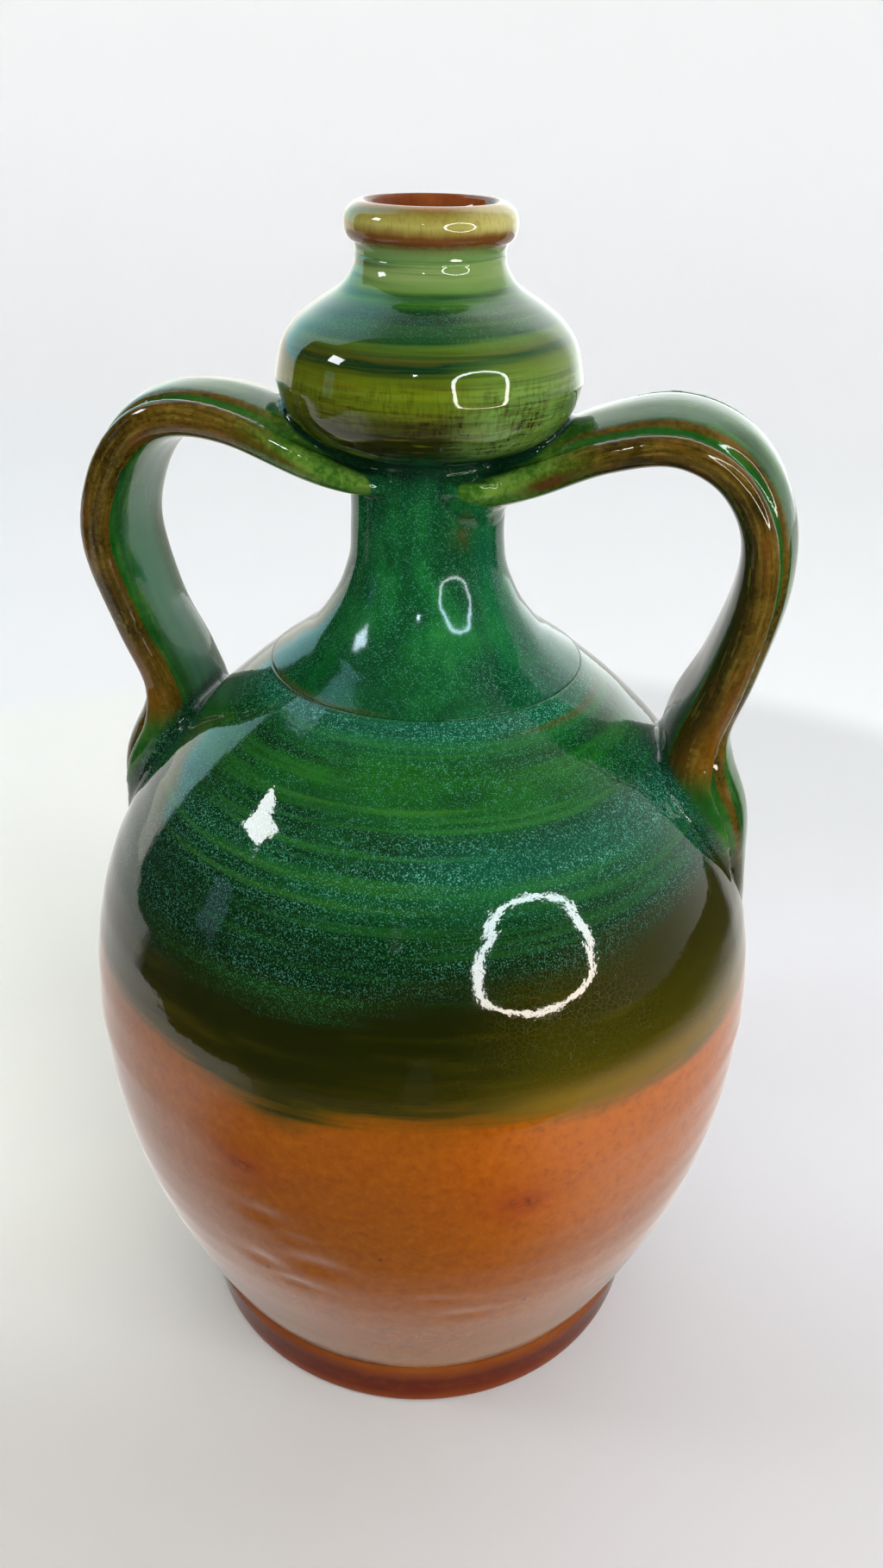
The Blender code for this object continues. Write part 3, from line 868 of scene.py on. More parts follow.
class Signal:
    """One number, colour or direction that changes over a surface."""

    def __init__(self, socket):
        self.socket = socket
        self.tree = socket.id_data

    @staticmethod
    def make(tree, kind, settings=None, values=None, output=0):
        """Add a node, set it up, feed its sockets and give one of its outputs."""
        made = tree.nodes.new(kind)
        for name, value in (settings or {}).items():
            if name == "stops":
                fill_ramp(made.color_ramp, value)
            else:
                setattr(made, name, value)
        for name, value in (values or {}).items():
            target = made.inputs[name]
            if isinstance(value, Signal):
                tree.links.new(value.socket, target)
            else:
                target.default_value = value
        return Signal(made.outputs[output])

    def math(self, operation, *others):
        """Work out one Math node on this number."""
        values = dict(enumerate((self, *others)))
        return Signal.make(self.tree, "ShaderNodeMath", {"operation": operation}, values)

    def __add__(self, other):
        return self.math("ADD", other)

    __radd__ = __add__

    def __sub__(self, other):
        return self.math("SUBTRACT", other)

    def __rsub__(self, other):
        return self.math("MULTIPLY_ADD", -1.0, other)

    def __mul__(self, other):
        return self.math("MULTIPLY", other)

    __rmul__ = __mul__

    def __truediv__(self, other):
        return self.math("DIVIDE", other)

    def step(self, low, high, from_value=0.0, to_value=1.0):
        """Rise smoothly from one value to another while this number goes from low to high."""
        if low > high:
            low, high, from_value, to_value = high, low, to_value, from_value
        names = ("Value", "From Min", "From Max", "To Min", "To Max")
        values = dict(zip(names, (self, low, high, from_value, to_value)))
        return Signal.make(self.tree, "ShaderNodeMapRange", {"interpolation_type": "SMOOTHSTEP"}, values)

    def bump(self, middle, wide):
        """A soft hump of height 1 round a middle value."""
        away = (self - middle) / wide
        return (away * away * -1.0).math("EXPONENT")

    def mix(self, first, second):
        """A colour between two others, by this number."""
        settings = {"data_type": "RGBA", "blend_type": "MIX", "clamp_factor": True}
        return Signal.make(self.tree, "ShaderNodeMix", settings, {0: self, 6: first, 7: second}, 2)

    def ramp(self, stops):
        """Look a colour up in a ramp of (place, screen colour) stops."""
        return Signal.make(self.tree, "ShaderNodeValToRGB", {"stops": stops}, {"Fac": self})

    def look_up(self, table, low, high):
        """Look a colour up in (value, screen colour) rows, in a ramp from low to high."""
        stops = [((value - low) / (high - low), colour) for value, colour in table]
        return ((self - low) / (high - low)).ramp(stops)


def fill_ramp(ramp, stops):
    """Set the stops of a colour ramp."""
    while len(ramp.elements) < len(stops):
        ramp.elements.new(1.0)
    for element, (place, colour) in zip(ramp.elements, stops):
        element.position = place
        element.color = tint(*colour)


def layered(colour, *layers):
    """Lay colours over a first one, each by its share. Three numbers are a screen colour."""
    for share, over in layers:
        colour = share.mix(colour, over if isinstance(over, Signal) else tint(*over))
    return colour


def coordinates(tree, space="Object"):
    """The place on the surface, and its x, y and z as numbers."""
    point = Signal.make(tree, "ShaderNodeTexCoord", output=space)
    parts = Signal.make(tree, "ShaderNodeSeparateXYZ", values={"Vector": point})
    return point, *(Signal(part) for part in parts.socket.node.outputs)


def from_front(x, y):
    """Distances towards the picture's front and towards its right."""
    front, right = math.cos(FRONT_TURN), -math.sin(FRONT_TURN)
    return x * front - y * right, x * right + y * front


def tint(red, green, blue):
    """A screen colour from 0 to 255 as linear light."""
    def linear(value):
        share = value / 255
        return share / 12.92 if share <= 0.04045 else ((share + 0.055) / 1.055) ** 2.4
    return (linear(red), linear(green), linear(blue), 1.0)


print("amber as linear light:", [round(value, 3) for value in tint(150, 80, 5)])

# %% [markdown]
# ## What the glaze reads
# All patterns lie in the jug's own space, so they go on from one piece to the next and stay put in
# every view. Three numbers do most of the work: the height, the angle round the axis, and noise of
# several sizes. Heights are in millimetres and angles in degrees from the front of the picture. The
# turn jumps from 180 to -180 behind the jug, so whatever changes from side to side reads an angle that
# shrinks back to 0 there, and no seam shows. Single marks read the turn itself.

# %% Heights, angles and noises
class Surface:
    """The numbers that a glaze reads on one material."""

    def __init__(self, tree):
        self.tree = tree
        self.point, self.x, self.y, z = coordinates(tree)
        self.height = z * 1000.0
        self.radius = (self.x * self.x + self.y * self.y).math("SQRT")
        self.ahead, self.aside = from_front(self.x, self.y)
        self.turn = self.aside.math("ARCTAN2", self.ahead) * DEGREES
        self.angle = self.turn * self.turn.math("ABSOLUTE").step(180.0, 95.0)

    def noise(self, scale, detail=2.0, rough=0.5, place=None):
        """Cloudy noise from 0 to 1."""
        values = {"Vector": place or self.point, "Scale": scale, "Detail": detail, "Roughness": rough}
        return Signal.make(self.tree, "ShaderNodeTexNoise", {"noise_dimensions": "3D"}, values)

    def streaks(self, across, upwards, detail=3.0, rough=0.6):
        """Noise that is longer one way, by its scales across and upwards."""
        values = {"Vector": self.point, "Scale": (across, across, upwards)}
        place = Signal.make(self.tree, "ShaderNodeMapping", {"vector_type": "POINT"}, values)
        return self.noise(1.0, detail, rough, place)

    def cells(self, scale):
        """Distance from the edges in a pattern of cells."""
        values = {"Vector": self.point, "Scale": scale}
        return Signal.make(self.tree, "ShaderNodeTexVoronoi", {"feature": "DISTANCE_TO_EDGE"}, values)

    def attribute(self, name):
        """A measure stored on the mesh."""
        return Signal.make(self.tree, "ShaderNodeAttribute", {"attribute_name": name}, output="Fac")


# %% A material with the gloss of fired glaze
def new_material(name):
    """Make an empty material and give it with its shader."""
    material = bpy.data.materials.new(name)
    material.use_nodes = True
    return material, material.node_tree.nodes["Principled BSDF"]


def plug_in(shader, name, signal):
    """Link a signal to one of the shader's sockets."""
    shader.id_data.links.new(signal.socket, shader.inputs[name])


def glaze(name, look_of, patches, rough, waves, distance=0.0005, shine=WHITE, gloss=0.34):
    """Make a glossy material. Its look gives a colour and a skin, whose waves bend the shine."""
    material, shader = new_material(name)
    settings = {"Metallic": 0.0, "IOR": 1.58, "Specular IOR Level": gloss, "Specular Tint": shine}
    for socket, value in settings.items():
        shader.inputs[socket].default_value = value
    surface = Surface(shader.id_data)
    colour, skin = look_of(surface)
    plug_in(shader, "Base Color", colour)
    plug_in(shader, "Roughness", surface.noise(patches, 3.0, 0.6).step(0.3, 0.8, *rough))
    values = {"Strength": waves, "Distance": distance, "Height": skin}
    plug_in(shader, "Normal", Signal.make(surface.tree, "ShaderNodeBump", values=values))
    return material


def two_waves(surface, broad, fine):
    """A skin of broad waves with finer ones on them."""
    return surface.noise(broad) + surface.noise(fine) * 0.25


# %% [markdown]
# ## The belly's glaze
# An amber slip covers the lower belly. Green copper glaze was poured over the top and ran down. Its
# edge is a dark olive band, because there it is thin over the amber, and it ends in a wavy line.
# Above the band it is a deep blue-green, full of fine pale specks, with faint turning lines.

# %% Colours of the belly by height
BELLY_TOP = 190.0
AMBER_STOPS = (
    (16.0, (80, 32, 4)), (22.0, (138, 90, 46)), (31.0, (128, 76, 24)), (45.0, (122, 66, 8)),
    (75.0, (126, 64, 0)), (100.0, (130, 62, 0)), (112.0, (138, 68, 0)), (124.0, (104, 54, 0)),
)
GREEN_STOPS = (
    (136.0, (18, 28, 0)), (145.0, (8, 30, 8)), (152.0, (6, 34, 10)), (160.0, (10, 60, 24)),
    (166.0, (8, 46, 18)), (172.0, (12, 68, 16)), (177.0, (18, 76, 12)), (181.0, (10, 64, 20)),
    (184.0, (14, 76, 36)), (188.0, (6, 56, 18)),
)


def specks(surface):
    """Fine pale specks, as where crystals formed in the glaze."""
    grain = surface.noise(3400.0, 1.0, 0.5)
    coarse = surface.noise(1100.0, 1.0, 0.5) - 0.5
    patch = surface.noise(45.0).step(0.30, 0.62)
    streaked = surface.streaks(30.0, 260.0).step(0.35, 0.62)
    return (grain + coarse * 0.30).step(0.54, 0.68) * (0.30 + patch * 0.35 + streaked * 0.35)


def belly_colour(surface):
    """Colour of the glaze on the belly and shoulder."""
    angle, height = surface.angle, surface.height
    wave = surface.noise(13.0) - 0.5
    ragged = surface.streaks(28.0, 420.0, 4.0, 0.65) - 0.5
    edge = height + wave * 5.0 + ragged * 8.0 + 3.0 - angle.step(-28.0, -52.0) * 4.0
    edge = edge + surface.turn.bump(-20.0, 8.0) * 4.0 + angle.step(8.0, 30.0) * 3.0
    amber_noise = surface.noise(45.0, 4.0, 0.6) - 0.5
    amber = (height + amber_noise * 24.0).look_up(AMBER_STOPS, 16.0, BELLY_TOP)
    left_amber = angle.step(16.0, -4.0) * height.step(58.0, 80.0)
    right_amber = angle.step(8.0, 24.0) * angle.step(80.0, 55.0) * height.step(70.0, 92.0)
    mottle = surface.noise(420.0, 4.0, 0.7)
    amber = layered(
        amber,
        (left_amber * 0.6, (108, 58, 4)),
        (right_amber * 0.5, (154, 80, 4)),
        (mottle.step(0.46, 0.72) * 0.40, (96, 38, 2)),
        (mottle.step(0.50, 0.28) * 0.14, (170, 96, 20)),
    )
    flaked = surface.noise(500.0, 2.0, 0.6).step(0.35, 0.6)
    for spot_angle, spot_height, strength in ((-27.0, 98.0, 0.6), (16.0, 94.0, 0.8), (118.0, 84.0, 0.7)):
        spot = surface.turn.bump(spot_angle, 5.0) * height.bump(spot_height, 5.0) * 0.7 * strength
        core = surface.turn.bump(spot_angle, 2.2) * height.bump(spot_height, 1.5) * flaked * strength
        amber = layered(amber, (spot, (120, 40, 8)), (core, (44, 20, 10)))
    pits = surface.noise(330.0, 1.0, 0.5).step(0.735, 0.77) * height.step(96.0, 70.0)
    amber = layered(amber, (pits * 0.7, (60, 34, 14)))
    olive_mix = ((edge + ragged * 8.0 - 112.0) / 40.0).ramp((
        (0.00, (112, 62, 0)), (0.16, (76, 54, 0)), (0.30, (40, 36, 0)), (0.50, (22, 24, 0)),
        (0.80, (16, 20, 0)), (1.00, (14, 26, 0)),
    ))
    patchy = surface.streaks(22.0, 190.0).step(0.52, 0.74)
    right = angle.step(4.0, 24.0)
    patchy = (patchy * 0.3 + right * 0.45).math("MINIMUM", 0.8)
    olive_mix = layered(
        olive_mix,
        (patchy * height.step(142.0, 126.0, 0.5, 1.0), (66, 58, 0)),
        (height.bump(118.5, 4.0) * right * 0.6, (116, 88, 24)),
    )
    green_height = height + ragged * 10.0 + (surface.noise(30.0, 3.0, 0.6) - 0.5) * 8.0
    green = green_height.look_up(GREEN_STOPS, 130.0, BELLY_TOP)
    cloud = surface.streaks(80.0, 190.0, 4.0, 0.65).step(0.35, 0.70)
    turning = surface.streaks(9.0, 380.0)
    bright = turning.step(0.52, 0.66) * height.step(148.0, 168.0, 0.30, 1.0)
    speck_share = 0.26 + height.bump(162.0, 6.0) * 0.22 + height.bump(184.0, 3.5) * 0.16
    blue = height.bump(184.0, 3.2) + height.bump(163.5, 4.0) * angle.step(-12.0, 12.0)
    blue = (blue + height.bump(156.0, 14.0) * angle.step(30.0, 60.0) * 0.5).math("MINIMUM", 1.0)
    speck_share = speck_share * turning.step(0.62, 0.44, 0.65, 1.25)
    green = layered(
        green,
        (cloud * 0.55, (4, 32, 8)),
        (bright * 0.55, (34, 92, 26)),
        (turning.step(0.48, 0.36) * 0.55, (3, 28, 10)),
        (angle.step(-15.0, -65.0) * 0.45, (8, 28, 6)),
        (blue * 0.35, (12, 78, 60)),
        (specks(surface) * (speck_share + blue * 0.25), (92, 164, 146)),
    )
    green_edge = height - 2.0 - angle.step(-22.0, 8.0) * 6.0 - angle.step(18.0, 50.0) * 4.0
    green_edge = green_edge + wave * 5.0 + ragged * 12.0
    colour = edge.step(117.0, 123.0).mix(amber, olive_mix)
    colour = green_edge.step(131.0, 142.0).mix(colour, green)
    broken = surface.streaks(20.0, 60.0, 2.0, 0.5).step(0.42, 0.62)
    for line_height, strength in ((157.0, 0.22), (160.5, 0.26), (172.0, 0.16)):
        line = (height + wave * 3.0).bump(line_height, 0.5) * broken * strength
        colour = layered(colour, (line, (60, 110, 24)))
    line = (height + wave * 2.0 + ragged * 1.5).bump(181.8, 0.5) * angle.step(20.0, 52.0) * 0.60
    groove = (height - 185.0).math("ABSOLUTE").step(0.7, 0.2) * angle.step(-10.0, -45.0) * 0.6
    return layered(colour, (line, (70, 64, 10)), (groove, (34, 38, 10)))


def crazing(surface):
    """Fine net of cracks in the glaze, in patches."""
    bent = surface.noise(300.0, 1.0) - 0.5
    return (surface.cells(780.0) + bent * 0.03).step(0.040, 0.010)


# %% Glaze the belly
def belly_look(surface):
    """Colour and skin of the body."""
    patch = surface.turn.bump(26.0, 14.0) * surface.height.bump(135.0, 16.0)
    colour = layered(belly_colour(surface), (crazing(surface) * patch * 0.12, (110, 124, 84)))
    return colour, two_waves(surface, 120.0, 700.0)


belly.data.materials.append(glaze("belly_glaze", belly_look, 80.0, (0.03, 0.07), 0.12, 0.0006))

# %% [markdown]
# ## The neck's, bulb's and mouth's glazes
# On the neck the green is deepest. The bulb shows the brush or the turning finger: bands of olive,
# brown and dark teal run round it, slanting a little. On the lip the glaze is thin, so the pale clay
# under it shows as tan, and a red-brown line marks the lower edge of the roll.

# %% Colour of the neck
def neck_colour(surface):
    """Colour of the glaze on the neck."""
    cloud = surface.streaks(90.0, 50.0, 4.0, 0.6)
    colour = cloud.ramp((
        (0.25, (4, 36, 14)), (0.45, (8, 58, 24)), (0.58, (14, 78, 30)), (0.75, (30, 98, 40)),
    ))
    left = surface.angle.step(-20.0, -60.0) * 0.35
    patch = surface.noise(110.0, 3.0, 0.6).step(0.48, 0.66)
    brown = surface.turn.bump(26.0, 9.0) * surface.height.bump(220.0, 5.0) * patch * 0.3
    low = surface.height.step(200.0, 190.0)
    # Painted shade: darker at the top of the neck, under the bulb's overhang.
    under_bulb_shade = surface.height.step(227.5, 231.5)
    groove = (surface.height - 185.5).math("ABSOLUTE").step(0.7, 0.2)
    return layered(
        colour,
        (left, (6, 44, 16)),
        (brown, (84, 60, 18)),
        (low * surface.angle.step(20.0, -10.0, 0.15, 0.6), (2, 50, 16)),
        (surface.angle.step(25.0, 55.0) * 0.25, (12, 80, 62)),
        (specks(surface) * (0.26 + surface.angle.step(10.0, 50.0) * low * 0.16), (92, 164, 142)),
        (under_bulb_shade * 0.85, (8, 30, 18)),
        (groove * surface.angle.step(-5.0, -35.0) * 0.5, (56, 58, 14)),
    )


# %% Colour of the bulb
BULB_STOPS = (
    (231.0, (6, 28, 20)), (236.5, (8, 26, 12)), (238.5, (22, 20, 2)), (242.5, (34, 34, 2)),
    (245.0, (54, 60, 6)), (247.5, (82, 94, 12)), (251.0, (78, 92, 12)), (253.2, (54, 64, 6)),
    (253.7, (6, 40, 14)), (254.7, (4, 36, 16)), (255.3, (60, 60, 8)), (257.3, (54, 78, 10)),
    (258.4, (12, 50, 18)), (260.0, (26, 66, 20)), (261.6, (6, 40, 22)), (262.6, (12, 52, 22)),
    (263.6, (48, 92, 24)), (264.5, (22, 64, 22)), (265.4, (66, 98, 38)), (267.2, (100, 118, 66)),
    (269.6, (98, 118, 66)), (270.3, (62, 98, 48)), (270.9, (112, 124, 74)), (271.6, (80, 108, 58)),
    (273.0, (98, 114, 66)),
)


def bulb_colour(surface):
    """Colour of the glaze on the bulb and throat."""
    angle, height = surface.angle, surface.height
    wave = surface.noise(25.0, 3.0, 0.5) - 0.5
    fine = surface.streaks(40.0, 700.0) - 0.5
    slant = height - angle.step(-5.0, 70.0) * 2.2 * height.step(262.0, 256.0)
    place = slant + wave * 1.4 + fine * 1.6
    colour = place.look_up(BULB_STOPS, 231.0, 273.0)
    right = angle.step(2.0, 26.0) * height.step(235.0, 239.5)
    left = angle.step(-5.0, -45.0) * height.step(268.0, 255.0)
    turning = surface.streaks(11.0, 600.0)
    lined = height.step(246.0, 256.0, 0.40, 1.0)
    pale = turning.step(0.53, 0.66) * height.step(261.0, 266.0, 0.30, 1.0)
    upright = surface.streaks(1150.0, 190.0, 2.0, 0.7).step(0.46, 0.60)
    level = surface.streaks(110.0, 1500.0, 2.0, 0.7).step(0.47, 0.60)
    cloud = surface.noise(120.0, 3.0, 0.6).step(0.36, 0.62)
    low = height.step(235.0, 238.0) * height.step(253.5, 249.5)
    woven = (upright * 0.50 + level * 0.60) * (0.45 + cloud * 0.55) * low
    bright = surface.streaks(90.0, 1100.0, 2.0, 0.6).step(0.56, 0.68) * low
    streak = surface.streaks(45.0, 700.0).step(0.55, 0.70)
    grain = specks(surface) * height.bump(260.5, 3.5) * 0.22
    return layered(
        colour,
        (right * height.step(256.0, 247.0, 0.20, 0.75), (90, 122, 54)),
        (left * 0.30, (54, 52, 2)),
        (pale * 0.45, (90, 112, 46)),
        (turning.step(0.48, 0.36) * lined * 0.60, (8, 46, 20)),
        (woven * height.step(251.0, 244.0, 0.55, 0.9), (30, 20, 0)),
        (bright * 0.5, (88, 92, 12)),
        (streak * height.bump(251.0, 5.0) * angle.step(25.0, -10.0) * 0.45, (84, 46, 8)),
        (grain, (84, 150, 110)),
    )


# %% Colour of the lip
LIP_STOPS = (
    (270.0, (80, 108, 58)), (271.6, (84, 110, 60)), (272.7, (94, 100, 54)), (273.6, (84, 46, 20)),
    (274.8, (88, 56, 24)), (275.6, (112, 96, 44)), (276.8, (134, 128, 66)), (278.2, (118, 108, 46)),
    (279.2, (100, 84, 30)), (280.0, (136, 84, 40)),
)


def lip_colour(surface):
    """Colour of the thin glaze on the lip and inside the mouth."""
    wave = surface.noise(90.0, 3.0, 0.6) - 0.5
    upright = surface.streaks(700.0, 160.0) - 0.5
    place = surface.height + wave * 1.2 + upright * 0.9
    colour = place.look_up(LIP_STOPS, 270.0, 280.0)
    ticks = surface.streaks(1500.0, 260.0, 2.0, 0.7).step(0.52, 0.66)
    inside = (surface.radius * 1000.0).step(14.6, 13.2)
    inner = surface.noise(160.0, 3.0, 0.6).ramp(((0.3, (84, 30, 6)), (0.7, (120, 62, 26))))
    return layered(
        colour,
        (surface.angle.step(8.0, 50.0) * place.step(275.0, 276.5) * 0.5, (168, 160, 98)),
        (ticks * place.step(271.0, 273.0) * 0.28, (92, 62, 22)),
        (inside, inner),
    )


# %% Glaze neck, bulb and mouth
NECK_SHINE = (0.66, 0.86, 1.0, 1.0)


def upper_look(colour_of):
    """Colour and skin of a piece above the shoulder."""
    return lambda surface: (colour_of(surface), two_waves(surface, 150.0, 800.0))


neck.data.materials.append(
    glaze("neck_glaze", upper_look(neck_colour), 90.0, (0.085, 0.125), 0.10, shine=NECK_SHINE)
)
bulb.data.materials.append(glaze("bulb_glaze", upper_look(bulb_colour), 90.0, (0.03, 0.07), 0.05))
mouth.data.materials.append(glaze("mouth_glaze", upper_look(lip_colour), 90.0, (0.03, 0.07), 0.08))

# %% [markdown]
# ## The foot ring's glaze
# The band of the foot is the darkest brown. It is nearly black in the middle of its height, under the
# belly, and turns orange at the lower edge, where it was wiped off before firing.

# %% Glaze the foot ring
def foot_look(surface):
    """Colour and skin of the foot ring."""
    wave = surface.noise(60.0, 3.0, 0.6) - 0.5
    place = (surface.height + wave * 3.0) / 17.0
    colour = place.ramp((
        (0.00, (136, 70, 18)), (0.12, (112, 46, 6)), (0.34, (84, 26, 2)), (0.60, (76, 22, 4)),
        (0.80, (104, 50, 18)), (1.00, (128, 74, 34)),
    ))
    blotch = surface.noise(220.0, 3.0, 0.6).step(0.45, 0.75) * 0.4
    return layered(colour, (blotch, (104, 48, 10))), surface.noise(160.0, 3.0)


foot.data.materials.append(glaze("foot_glaze", foot_look, 100.0, (0.06, 0.14), 0.15, gloss=0.04))

# %% [markdown]
# ## The handles' glaze
# On the straps the glaze broke over the rolled edge and the ridge, which show brown, and gathered
# green in the groove between them. Near the jug it takes the colour of what it is luted on, and
# a dark line of painted shade runs along the crease of the slip joint.

# %% Glaze the handles
def strap_look(surface):
    """Colour and skin of both straps."""
    rise, across, along, high = (surface.attribute(name) for name in ("rise", "across", "along", "high"))
    broad = (across * 6.0, along * 0.06, high * 3.0)
    narrow = (across * 24.0, along * 0.09, high * 12.0)
    places = [
        Signal.make(surface.tree, "ShaderNodeCombineXYZ", values=dict(enumerate(parts)))
        for parts in (broad, narrow)
    ]
    streak = surface.noise(1.0, 3.0, 0.55, places[0])
    fine_lines = surface.noise(1.0, 3.0, 0.65, places[1])
    cloud = surface.noise(95.0, 4.0, 0.65)
    grain = surface.noise(900.0, 2.0, 0.6)
    outer = high.step(-0.05, 0.12)
    edge = across.math("ABSOLUTE") + (streak - 0.5) * 0.10
    green = (streak * 0.5 + cloud * 0.5).ramp((
        (0.32, (8, 44, 10)), (0.50, (22, 68, 18)), (0.66, (56, 92, 34)),
    ))
    brown = (cloud * 0.45 + grain * 0.25 + streak * 0.30).ramp((
        (0.30, (26, 16, 0)), (0.42, (50, 34, 4)), (0.50, (70, 54, 12)), (0.58, (86, 64, 20)),
        (0.70, (104, 84, 34)),
    ))
    from_root = along.step(8.0, 26.0, 0.15, 1.0)
    at_end = surface.height.step(160.0, 172.0)
    bead = edge.step(0.77, 0.85) * across.step(0.3, -0.3) * from_root * at_end
    ridge = edge.step(0.47, 0.54) * edge.step(0.645, 0.60) * outer * from_root
    thin = (bead + ridge * 0.9) * (0.80 + (cloud - 0.5) * 0.7)
    colour = thin.step(0.15, 0.80).mix(green, brown)
    inner = high.step(-0.14, -0.32)
    right_side = surface.x.step(-0.004, 0.004)
    left_side = 1.0 - right_side
    face = inner * edge.step(0.80, 0.70)
    # Painted reflection on the left strap's inner face, and painted shade on the side of the bead that
    # turns inwards.
    left_face_reflection = face * left_side * edge.step(0.62, 0.20)
    bead_turned_in_shade = bead * high.step(0.06, -0.22)
    pooled = edge.bump(0.70, 0.045) * outer
    rusty = streak.step(0.54, 0.64) * bead * 0.40
    low_part = surface.height.step(190.0, 168.0)
    gold = bead * low_part * high.step(-0.20, 0.10, 0.15, 0.5)
    colour = layered(
        colour,
        # Painted shade on the right strap's inner face, a painted reflection on the left one, and
        # painted shade on the bead's inward side, strongest on the right strap.
        (face * right_side * 0.85, (8, 30, 12)),
        (left_face_reflection * 0.75, (44, 98, 70)),
        (bead_turned_in_shade * (0.15 + right_side * 0.70), (20, 24, 4)),
        (pooled * 0.75, (20, 72, 16)),
        (fine_lines.step(0.50, 0.38) * bead * 0.55, (32, 24, 2)),
        (fine_lines.step(0.54, 0.68) * bead * 0.40, (106, 96, 40)),
        (rusty, (78, 32, 4)),
        (gold, (96, 60, 8)),
    )
    olive = (cloud * 0.6 + grain * 0.4).ramp((
        (0.34, (24, 56, 10)), (0.50, (46, 84, 20)), (0.62, (84, 112, 40)),
    ))
    upper = surface.height.step(204.0, 212.0)
    at_root = along.step(32.0, 14.0) * upper * (0.70 + outer * 0.20)
    root_patch = along.bump(17.0, 5.0) * high.bump(-0.06, 0.16) * (0.6 + streak) * right_side
    thin_line = along.bump(19.0, 8.0) * high.bump(0.02, 0.07) * left_side * (0.3 + streak)
    tip = surface.turn.math("ABSOLUTE").step(72.0, 34.0) * upper * along.step(24.0, 14.0)
    # Painted highlight: a pale streak along the top of the left root's tongue.
    root_highlight_streak = high.bump(0.16, 0.08) * left_side * tip * along.step(10.0, 16.0) * 0.5
    joined = (rise + (streak - 0.5) * 1.0 - tip * 2.2).step(1.5, 0.5) * upper
    low = surface.height.step(205.0, 195.0)
    near = (rise + (streak - 0.5) * 2.4).step(4.4, 1.0)
    colour = layered(
        colour,
        (at_root, olive),
        (at_root * high.step(0.08, -0.12) * 0.55, (26, 52, 10)),
        (root_patch.math("MINIMUM", 0.9), (58, 26, 4)),
        (thin_line.math("MINIMUM", 0.8), (70, 44, 8)),
        (joined, neck_colour(surface)),
        (root_highlight_streak, (104, 118, 48)),
        # Painted shade: a dark line in the crease where the root meets the neck and bulb.
        (rise.bump(0.45, 0.35) * upper * (0.65 - tip * 0.35), (4, 28, 12)),
        (near * low, belly_colour(surface)),
        # Painted shade: a dark line in the crease where the pad meets the belly.
        (rise.bump(0.5, 0.45) * low * 0.45, (6, 24, 8)),
    )
    return colour, surface.noise(140.0) + streak * 0.5


strap_glaze = glaze("handle_glaze", strap_look, 90.0, (0.035, 0.08), 0.12, 0.0006)
for strap in (right_handle, left_handle):
    strap.data.materials.append(strap_glaze)
print("materials:", ", ".join(sorted(material.name for material in bpy.data.materials)))

# %% [markdown]
# ## The studio
# Gloss shows what stands around the jug. The room is pale behind and at the sides and dim in front.
# A ring lamp stands at the right of the camera and a window at the left, and both show as bright
# marks on the glaze. The floor is pale and keeps a soft shadow.

# %% The floor
def stage_piece(name, shape, material):
    """Add a piece of the studio."""
    piece = new_object(name, shape)
    piece.data.materials.append(material)
    return piece


COVE_STEPS = 12
FLOOR_STEPS = 128
COVE_RADIUS = 1.15
COVE_CURVE = 0.30
COVE_HEIGHT = 2.6


def sweep():
    """A round floor that curves up into a wall, so that no edge shows from any side."""
    rows = [(0.0, 0.0), (COVE_RADIUS - COVE_CURVE, 0.0)]
    for step in range(1, COVE_STEPS + 1):
        turn = math.radians(90 * step / COVE_STEPS)
        out, up = COVE_CURVE * math.sin(turn), COVE_CURVE * math.cos(turn)
        rows.append((COVE_RADIUS - COVE_CURVE + out, COVE_CURVE - up))
    rows.append((COVE_RADIUS, COVE_HEIGHT))
    shape = spin_outline(rows, False, FLOOR_STEPS)
    bmesh.ops.reverse_faces(shape, faces=shape.faces)
    return shape


def floor_paint():
    """Matt white paint with faint smudges, under painted shade: greyer at the right and much darker in
    front.
    """
    material, shader = new_material("floor_paint")
    shader.inputs["Roughness"].default_value = 0.6
    surface = Surface(shader.id_data)
    # Painted shade: the floor is greyer at the right, and darkest behind the jug on that side.
    right = surface.aside.step(-0.06, 0.08)
    colour = right.mix((0.77, 0.77, 0.71, 1.0), (0.68, 0.67, 0.70, 1.0))
    back = right.mix((0.80, 0.80, 0.765, 1.0), (0.625, 0.625, 0.635, 1.0))
    colour = surface.ahead.step(-0.10, -0.26).mix(colour, back)
    # Painted shade: much darker in front, towards the camera.
    front_shade = right.mix((0.485, 0.46, 0.44, 1.0), (0.54, 0.52, 0.53, 1.0))
    colour = surface.ahead.step(-0.04, 0.085).mix(colour, front_shade)
    smudge = surface.noise(9.0, 4.0, 0.6).step(0.50, 0.75) * 0.12
    colour = smudge.mix(colour, (0.62, 0.61, 0.62, 1.0))
    edge = surface.radius.step(0.385, 0.425)
    wall = surface.height.step(20.0, 350.0).mix((0.785, 0.785, 0.80, 1.0), (0.825, 0.825, 0.83, 1.0))
    colour = edge.mix(colour, wall)
    plug_in(shader, "Base Color", colour)
    return material


floor = stage_piece("floor", sweep(), floor_paint())
floor.data.shade_smooth()

# %% Directions in the room
def room_direction(angle, up):
    """A direction from the jug: an angle from the picture's front, and degrees up."""
    turn = FRONT_TURN + math.radians(angle)
    level = math.cos(math.radians(up))
    return Vector((math.cos(turn) * level, math.sin(turn) * level, math.sin(math.radians(up))))


JUG_MIDDLE = Vector((0, 0, 0.15))


